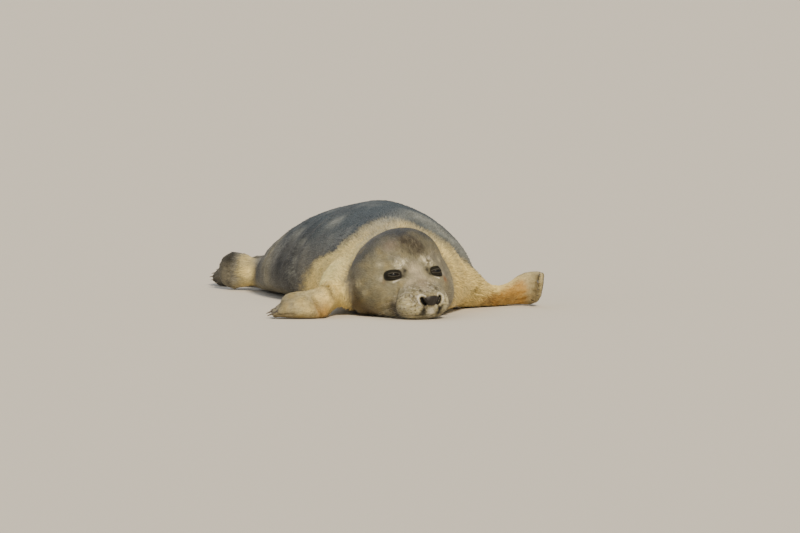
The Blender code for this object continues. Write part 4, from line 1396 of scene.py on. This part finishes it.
# Thin moist skin of the lids, finely wrinkled.
def lidFinish():
    finish, tree, shader = newMaterial("moist dark eyelid skin")
    feed(tree, shader, {
        "Base Color": carried(tree, "marking", "Color"), "Roughness": 0.70,
        "Normal": relief(tree, grainNoise(tree, 0.9, 3.0), 0.5, 0.3), "Specular IOR Level": 0.12,
    })
    return finish


# A seal's eye looks black: a dark brown iris under a wet clear cornea. The angle away from the
# middle of the pupil says where the pupil and the iris end.
def eyeFinish():
    finish, tree, shader = newMaterial("wet dark eyeball")
    away = carried(tree, "fromPupil")
    iris = mixed(tree, grainNoise(tree, 0.9, 2.0), hexColour("#140c08"), hexColour("#2b1a10"))
    inner = mixed(tree, mapped(tree, away, 0.42, 0.52), hexColour("#030303"), iris)
    feed(tree, shader, {
        "Base Color": mixed(tree, mapped(tree, away, 1.0, 1.25), inner, hexColour("#3a2f28")),
        "Roughness": 0.30, "Specular IOR Level": 0.3, "Coat Weight": 0.35, "Coat Roughness": 0.06,
    })
    return finish


# Claw horn: dark, faintly uneven, polished by sand.
def clawFinish():
    finish, tree, shader = newMaterial("dark claw horn")
    feed(tree, shader, {
        "Base Color": mixed(tree, carried(tree, "along"), hexColour("#3a332a"), hexColour("#6a5f4d")),
        "Normal": relief(tree, grainNoise(tree, 1.3, 3.0), 0.4, 0.15), "Roughness": 0.36, "IOR": 1.54,
    })
    return finish


# Whisker keratin: stiff pale strands, darker at the root.
def whiskerFinish():
    finish, tree, shader = newMaterial("whisker keratin")
    feed(tree, shader, {
        "Base Color": mixed(tree, carried(tree, "along"), hexColour("#4a4034"), hexColour("#cdc3a8")),
        "Roughness": 0.34, "IOR": 1.55,
    })
    return finish


# Tufts of each coat piece: how many, width in mm, how far they stand up and turn aside in
# degrees, and a slot name.
coatPieces = {
    "crown": (13800, 1.2, 12, 12, "coat_grey"),
    "face": (15800, 0.9, 11, 11, "coat_grey"),
    "neck": (8700, 1.6, 15, 18, "coat_cream"),
    "shoulderRight": (11400, 1.7, 13, 15, "coat_cream"),
    "shoulderLeft": (12000, 1.7, 13, 15, "coat_cream"),
    "flankRight": (12200, 1.7, 10, 10, "coat_grey"),
    "flankLeft": (12200, 1.7, 10, 10, "coat_grey"),
    "rumpRight": (12300, 1.7, 10, 10, "coat_grey"),
    "rumpLeft": (12300, 1.7, 10, 10, "coat_grey"),
    "armRight": (8100, 1.4, 13, 14, "coat_cream"),
    "armLeft": (7700, 1.4, 13, 14, "coat_cream"),
    "hind": (9200, 1.2, 11, 12, "coat_grey"),
}
pieceNames = list(coatPieces)
tuftShape = {
    "rootWidth": 0.55,  # of its full width
    "rootWiden": 1.15,  # the cone's own width is multiplied by this at its root
    "middleWiden": 2.31,  # and by this from its middle on
    "roof": 0.055,  # thickness of its ridge, of its length
    "droop": 0.16,  # how far its tip bends back down, of its length
    "sink": 0.35 * mm,  # its root starts this far under the skin
    "patch": 0.003,  # width of its patch on the OFBake map
    "clump": 16 * mm,  # over this distance neighbouring tufts turn together
    "clumpTurn": 0.38,
    "fluff": 0.35,  # how much more the last of the birth coat stands up
    "lowest": 0.3 * mm,  # above the floor
    "facesEach": 7,
}


def tuftTree(hair):
    tree = bpy.data.node_groups.new("coat tufts", "GeometryNodeTree")
    face = tree.interface
    face.new_socket("Skin", in_out="INPUT", socket_type="NodeSocketGeometry")
    for name in ("Spacing", "Most", "Width", "Rise", "Turn"):
        face.new_socket(name, in_out="INPUT", socket_type="NodeSocketFloat")
    for name in ("Piece", "Seed"):
        face.new_socket(name, in_out="INPUT", socket_type="NodeSocketInt")
    face.new_socket("Coat", in_out="OUTPUT", socket_type="NodeSocketGeometry")
    given = addNode(tree, "NodeGroupInput").outputs

    def read(name, kind="FLOAT"):
        return addNode(tree, "GeometryNodeInputNamedAttribute", {"Name": name}, data_type=kind)

    def store(geometry, name, value, kind="FLOAT", domain="POINT"):
        inputs = {"Geometry": geometry, "Name": name, "Value": value}
        return addNode(tree, "GeometryNodeStoreNamedAttribute", inputs, data_type=kind, domain=domain)

    def math2(operation, first, second):
        return addNode(tree, "ShaderNodeMath", {0: first, 1: second}, operation=operation)

    def vector(x, y, z):
        return addNode(tree, "ShaderNodeCombineXYZ", {"X": x, "Y": y, "Z": z})

    def parts():
        return addNode(tree, "ShaderNodeSeparateXYZ", {"Vector": position()}).outputs

    def position():
        return addNode(tree, "GeometryNodeInputPosition")

    def anyOf(low, high, shift):
        seed = math2("ADD", given["Seed"], float(shift))
        return addNode(tree, "FunctionNodeRandomValue", {"Min": low, "Max": high, "Seed": seed})

    # one tuft: a three-sided cone, widened in its middle and flattened
    cone = addNode(tree, "GeometryNodeMeshCone", {"Vertices": 3, "Side Segments": 2, "Radius Top": 0.0,
                                                  "Radius Bottom": 0.5, "Depth": 1.0}, fill_type="NGON")
    x, y, z = parts()
    fuller = mapped(tree, z, 0.0, 0.5, tuftShape["rootWiden"] * tuftShape["rootWidth"],
                    tuftShape["middleWiden"])
    across = math2("MULTIPLY", y, fuller)
    ridge = math2("MULTIPLY", math2("MULTIPLY", x, fuller), tuftShape["roof"])
    bent = math2("MULTIPLY", math2("POWER", z, 2.0), -tuftShape["droop"])
    tuft = store(cone.outputs["Mesh"], "along", z)
    tuft = store(tuft, "across", across)
    tuft = addNode(tree, "GeometryNodeSetPosition", {
        "Geometry": tuft, "Position": vector(across, z, math2("ADD", ridge, bent)),
    })

    # roots over this piece of the skin
    here = addNode(tree, "FunctionNodeCompare", {"A": read("coatPiece", "INT"), "B": given["Piece"]},
                   data_type="INT", operation="EQUAL")
    skin = addNode(tree, "GeometryNodeSeparateGeometry", {"Geometry": given["Skin"], "Selection": here},
                   domain="FACE")
    roots = addNode(tree, "GeometryNodeDistributePointsOnFaces", {
        "Mesh": skin.outputs["Selection"], "Distance Min": given["Spacing"],
        "Density Max": given["Most"], "Density Factor": read("coatDensity"), "Seed": given["Seed"],
    }, distribute_method="POISSON")
    points = store(roots.outputs["Points"], "shade", anyOf(0.0, 1.0, 1))
    sunk = times(tree, read("skinNormal", "FLOAT_VECTOR"), (-tuftShape["sink"],) * 3)
    points = addNode(tree, "GeometryNodeSetPosition", {"Geometry": points, "Offset": sunk})

    # laid along the coat, each a little its own way, and neighbours partly together
    laid = addNode(tree, "FunctionNodeAxesToRotation", {
        "Primary Axis": read("skinNormal", "FLOAT_VECTOR"),
        "Secondary Axis": read("lay", "FLOAT_VECTOR"),
    }, primary_axis="Z", secondary_axis="Y")
    clump = addNode(tree, "ShaderNodeTexNoise", {"Vector": position(), "Scale": 1 / tuftShape["clump"],
                                                 "Detail": 1.0})
    swirl = math2("MULTIPLY", math2("SUBTRACT", clump.outputs["Fac"], 0.5), 2 * tuftShape["clumpTurn"])
    turn = math2("MULTIPLY", anyOf(-1.0, 1.0, 2), given["Turn"])
    lift = math2("MULTIPLY", anyOf(0.55, 1.45, 3), given["Rise"])
    fluffy = math2("ADD", math2("MULTIPLY", read("lanugo"), tuftShape["fluff"]), 1.0)
    own = vector(math2("MULTIPLY", lift, fluffy), 0.0, math2("ADD", turn, swirl))
    turned = addNode(tree, "FunctionNodeRotateRotation", {
        "Rotation": laid, "Rotate By": addNode(tree, "FunctionNodeEulerToRotation", {"Euler": own}),
    }, rotation_space="LOCAL")
    long = math2("MULTIPLY", read("coatLength"), anyOf(0.72, 1.28, 4))
    wide = math2("MULTIPLY", given["Width"], anyOf(0.75, 1.25, 5))
    coat = addNode(tree, "GeometryNodeInstanceOnPoints", {
        "Points": points, "Instance": tuft, "Rotation": turned, "Scale": vector(wide, long, long),
    })
    coat = addNode(tree, "GeometryNodeRealizeInstances", {"Geometry": coat})

    # each tuft is a small patch at its root's place on the skin's own map
    patch = vector(read("across"), math2("SUBTRACT", read("along"), 0.5), 0.0)
    patch = times(tree, patch, (tuftShape["patch"],) * 3)
    spot = addNode(tree, "ShaderNodeVectorMath", {0: read("OFBake", "FLOAT_VECTOR"), 1: patch})
    coat = store(coat, "OFBake", spot, "FLOAT2", "CORNER")

    # and none of it lies in the floor
    x, y, z = parts()
    kept = vector(x, y, math2("MAXIMUM", z, tuftShape["lowest"]))
    coat = addNode(tree, "GeometryNodeSetPosition", {"Geometry": coat, "Position": kept})
    coat = addNode(tree, "GeometryNodeSetShadeSmooth", {"Geometry": coat})
    coat = addNode(tree, "GeometryNodeSetMaterial", {"Geometry": coat, "Material": hair})
    addNode(tree, "NodeGroupOutput", {"Coat": coat})
    return tree


# What only the growing of the coat needs, and is dropped after it.
helperValues = ("skinNormal", "lay", "coatLength", "coatDensity", "lanugo", "coatPiece", "across")


def dropValues(mesh, names):
    for name in names:
        layer = mesh.attributes.get(name)
        if layer:
            mesh.attributes.remove(layer)


# Lets the tufts catch the light mostly as the form under them does, so that the coat looks soft.
def softenNormals(mesh, share):
    under = readVectors(mesh.attributes["skinNormal"].data, "vector")
    own = readVectors(mesh.vertex_normals, "vector")
    mesh.normals_split_custom_set_from_vertices(unit(own * (1 - share) + under * share))


def pieceArea(mesh, piece):
    areas = np.empty(len(mesh.polygons))
    mesh.polygons.foreach_get("area", areas)
    return np.bincount(piece[firstPoints(mesh)], areas, len(pieceNames))


def growCoat(skinObject, piece):
    tree = tuftTree(tuftFinish())
    ids = {item.name: item.identifier for item in tree.interface.items_tree if item.in_out == "INPUT"}
    areas = pieceArea(skinObject.data, piece)
    coats = {}
    for number, name in enumerate(pieceNames):
        tufts, width, rise, turn, _ = coatPieces[name]
        perArea = tufts / areas[number]
        carrier = newObject("coat_" + name, skinObject.data)
        growth = carrier.modifiers.new("tufts", "NODES")
        growth.node_group = tree
        inputs = {
            "Spacing": math.sqrt(coatGrowth["spacing"] / perArea),
            "Most": perArea * coatGrowth["tries"], "Width": width * mm, "Rise": math.radians(rise),
            "Turn": math.radians(turn), "Piece": number, "Seed": coatGrowth["seed"] + number,
        }
        for label, value in inputs.items():
            growth[ids[label]] = value
        coat = bake(carrier, "coat_" + name)
        softenNormals(coat.data, coatGrowth["softNormals"])
        dropValues(coat.data, (*helperValues, "grain"))
        print("coat", name, len(coat.data.polygons) // tuftShape["facesEach"], "tufts")
        coats[name] = coat
    return coats


# A tapering tube along points, with a closed round end. Rings carry how far along they are.
def addTube(shape, alongLayer, points, radii, sides):
    points = np.array(points, float)
    heading = unit(np.gradient(points, axis=0))
    beside = unit(np.cross(heading, (0.12, 0.33, 0.94)))
    above = np.cross(heading, beside)
    rings = []
    for k, (place, radius) in enumerate(zip(points, radii)):
        ring = []
        for j in range(sides):
            angle = 2 * math.pi * j / sides
            side = beside[k] * math.cos(angle) + above[k] * math.sin(angle)
            vertex = shape.verts.new(place + side * radius)
            vertex[alongLayer] = k / (len(points) - 1)
            ring.append(vertex)
        rings.append(ring)
    for lower, upper in zip(rings, rings[1:]):
        for j in range(sides):
            shape.faces.new((lower[j], lower[(j + 1) % sides], upper[(j + 1) % sides], upper[j]))
    shape.faces.new(rings[0][::-1])
    shape.faces.new(rings[-1])


def tubeMesh(name, tubes, sides):
    shape = bmesh.new()
    layer = shape.verts.layers.float.new("along")
    for points, radii in tubes:
        addTube(shape, layer, points, radii, sides)
    bmesh.ops.recalc_face_normals(shape, faces=shape.faces)
    mesh = meshFrom(shape, name)
    mesh.shade_smooth()
    return newObject(name, mesh)


# Millimetres: hairs spread back and down from the pads, the longest in the middle rows.
whiskerSet = {
    "longest": 38, "shortest": 12, "brow": 20, "thick": 0.34, "tip": 0.07, "wave": 0.16, "rings": 14,
    "sides": 5, "back": 0.85, "sag": 0.55, "lowest": 0.6, "sunk": 0.8, "seed": 8,
}


def makeWhiskers(roots):
    tubes = []
    wave = np.random.default_rng(whiskerSet["seed"])
    for side, kind, row, place, root, normal in roots:
        if kind == "pad":
            more = whiskerSet["longest"] - whiskerSet["shortest"]
            long = whiskerSet["shortest"] + more * place / 6
            long *= 1 - 0.10 * abs(row - 1.5)
        else:
            long = whiskerSet["brow"] * (0.7 + 0.12 * place)
        long *= wave.uniform(0.82, 1.12) * mm
        out = unit(fromHead(np.array((side, -0.25, 0.0))) - fromHead(np.zeros(3)))
        back = unit(fromHead(np.array((side * 0.5, -1.0, 0.0))) - fromHead(np.zeros(3)))
        start = unit(normal + 0.75 * out)
        shares = np.linspace(0, 1, whiskerSet["rings"])
        bend = whiskerSet["back"] * shares[:, None] ** 2 * back * long * 0.5
        sag = np.array((0, 0, -1)) * (whiskerSet["sag"] * shares[:, None] ** 2 * long * 0.5)
        if kind == "brow":
            start, sag = unit(normal + 0.5 * out + np.array((0, 0, 0.6))), sag * 0.4
        foot = root - normal * whiskerSet["sunk"] * mm
        points = foot + start * shares[:, None] * long * 0.9 + bend + sag
        phase = wave.uniform(0, 6.3)
        ripple = np.sin(shares * long / mm * 1.9 + phase)[:, None] * whiskerSet["wave"] * mm
        points += ripple * unit(np.cross(start, (0, 0, 1))) * shares[:, None]
        points[:, 2] = np.maximum(points[:, 2], whiskerSet["lowest"] * mm)
        radii = (whiskerSet["thick"] * (1 - shares) + whiskerSet["tip"] * shares) * 0.5 * mm
        tubes.append((points, radii))
    piece = tubeMesh("whiskers", tubes, whiskerSet["sides"])
    piece.data.materials.append(whiskerFinish())
    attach(piece, "root")
    print("whiskers", len(tubes))
    return piece


clawSet = {
    "rings": 14,
    "sides": 10,
    "taper": 0.62,
    # where a claw starts, inside the toe, and ends, as shares of its block's length, and its thickness
    "fore_flipper_right": (-0.70, 0.62, 0.75),
    "fore_flipper_left": (-0.70, 0.26, 0.60),
    "hind_flipper_right": (-0.70, 0.22, 0.66),
    "hind_flipper_left": (-0.70, 0.50, 0.70),
}


# One smooth curved claw in place of each plain one, worn shorter and thinner than its block.
def makeClaws(limb, horn):
    tubes = []
    label = limb.replace("flipper", "claw")
    for number in range(1, 6):
        corners = readVectors(nodes[f"{label}_{number}"].data.vertices, "co")
        middle = corners.mean(axis=0)
        _, _, axes = np.linalg.svd(corners - middle, full_matrices=False)
        inward = np.array(coatLines[limb][-3]) - middle
        axis = axes[0] if axes[0] @ inward < 0 else -axes[0]
        level = (corners - middle) @ axis
        bins = np.linspace(level.min(), level.max(), 5)
        stations = [corners[np.abs(level - b) < np.ptp(level) * 0.16].mean(axis=0) for b in bins]
        fit = [np.polyfit(np.linspace(0, 1, 5), np.array(stations)[:, k], 1) for k in range(3)]
        root, end, thick = clawSet[limb]
        shares = np.linspace(0, 1, clawSet["rings"])
        reach = root + (end - root) * shares
        points = np.stack([np.polyval(f, reach) for f in fit], axis=1)
        fat = np.linalg.norm(np.cross(corners - middle, axis), axis=1).max()
        radii = fat * thick * ((1 - shares) ** clawSet["taper"] * 0.92 + 0.06)
        tubes.append((points, radii))
    piece = tubeMesh(label.replace("claw", "claws"), tubes, clawSet["sides"])
    piece.data.materials.append(horn)
    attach(piece, "root")
    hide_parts(*[f"{label}_{number}" for number in range(1, 6)])
    return piece


eyeSet = {"segments": 40, "rings": 28, "cornea": 0.5 * mm, "corneaReach": 0.5}


def makeEye(side, wet):
    name = "eye_right" if side > 0 else "eye_left"
    centre = fromHead(eyeMiddle(side))
    gaze = unit(headTurn @ unit(mirrored(lidSet["gaze"], side)))
    shape = bmesh.new()
    bmesh.ops.create_uvsphere(shape, u_segments=eyeSet["segments"], v_segments=eyeSet["rings"],
                              radius=lidSet["ball"])
    layer = shape.verts.layers.float.new("fromPupil")
    turn = Vector((0, 0, 1)).rotation_difference(Vector(gaze)).to_matrix()
    for vertex in shape.verts:
        angle = Vector((0, 0, 1)).angle(vertex.co)
        vertex[layer] = angle
        bulge = eyeSet["cornea"] * float(bump(angle, 0, eyeSet["corneaReach"]))
        vertex.co = turn @ (vertex.co * (1 + bulge / lidSet["ball"])) + Vector(centre)
    mesh = meshFrom(shape, name)
    mesh.shade_smooth()
    mesh.materials.append(wet)
    piece = newObject(name + "_ball", mesh)
    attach(piece, "root")
    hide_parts(name)
    return piece


# Nose leather and lid skin get their own finish face by face.
def dressSkin(skinObject, dark, nose):
    mesh = skinObject.data
    for finish in (furSkinFinish(), noseFinish(), lidFinish()):
        mesh.materials.append(finish)
    first = firstPoints(mesh)
    kind = np.where(nose[first] > 0.5, 1, np.where(dark[first] > 0.5, 2, 0))
    mesh.polygons.foreach_set("material_index", kind.astype(np.int32))
    dropValues(mesh, helperValues)
    mesh.shade_smooth()
    skinObject.name = mesh.name = "skin"
    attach(skinObject, "root")
    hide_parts(*fleshNames)


def main():
    addCamera()
    addFloor()
    addLights()
    body, skin, shares = makeSkin()
    sculpt(skin, shares)
    surface = BVHTree.FromPolygons([v.co for v in body.data.vertices],
                                   [p.vertices[:] for p in body.data.polygons])
    roots = whiskerRoots(surface)
    dark, nose, piece = markSkin(skin, shares, roots)
    for name, coat in growCoat(body, piece).items():
        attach(coat, "root")
    dressSkin(body, dark, nose)
    makeWhiskers(roots)
    horn = clawFinish()
    for limb in flipperNames:
        makeClaws(limb, horn)
    wet = eyeFinish()
    for side in (1, -1):
        makeEye(side, wet)


main()
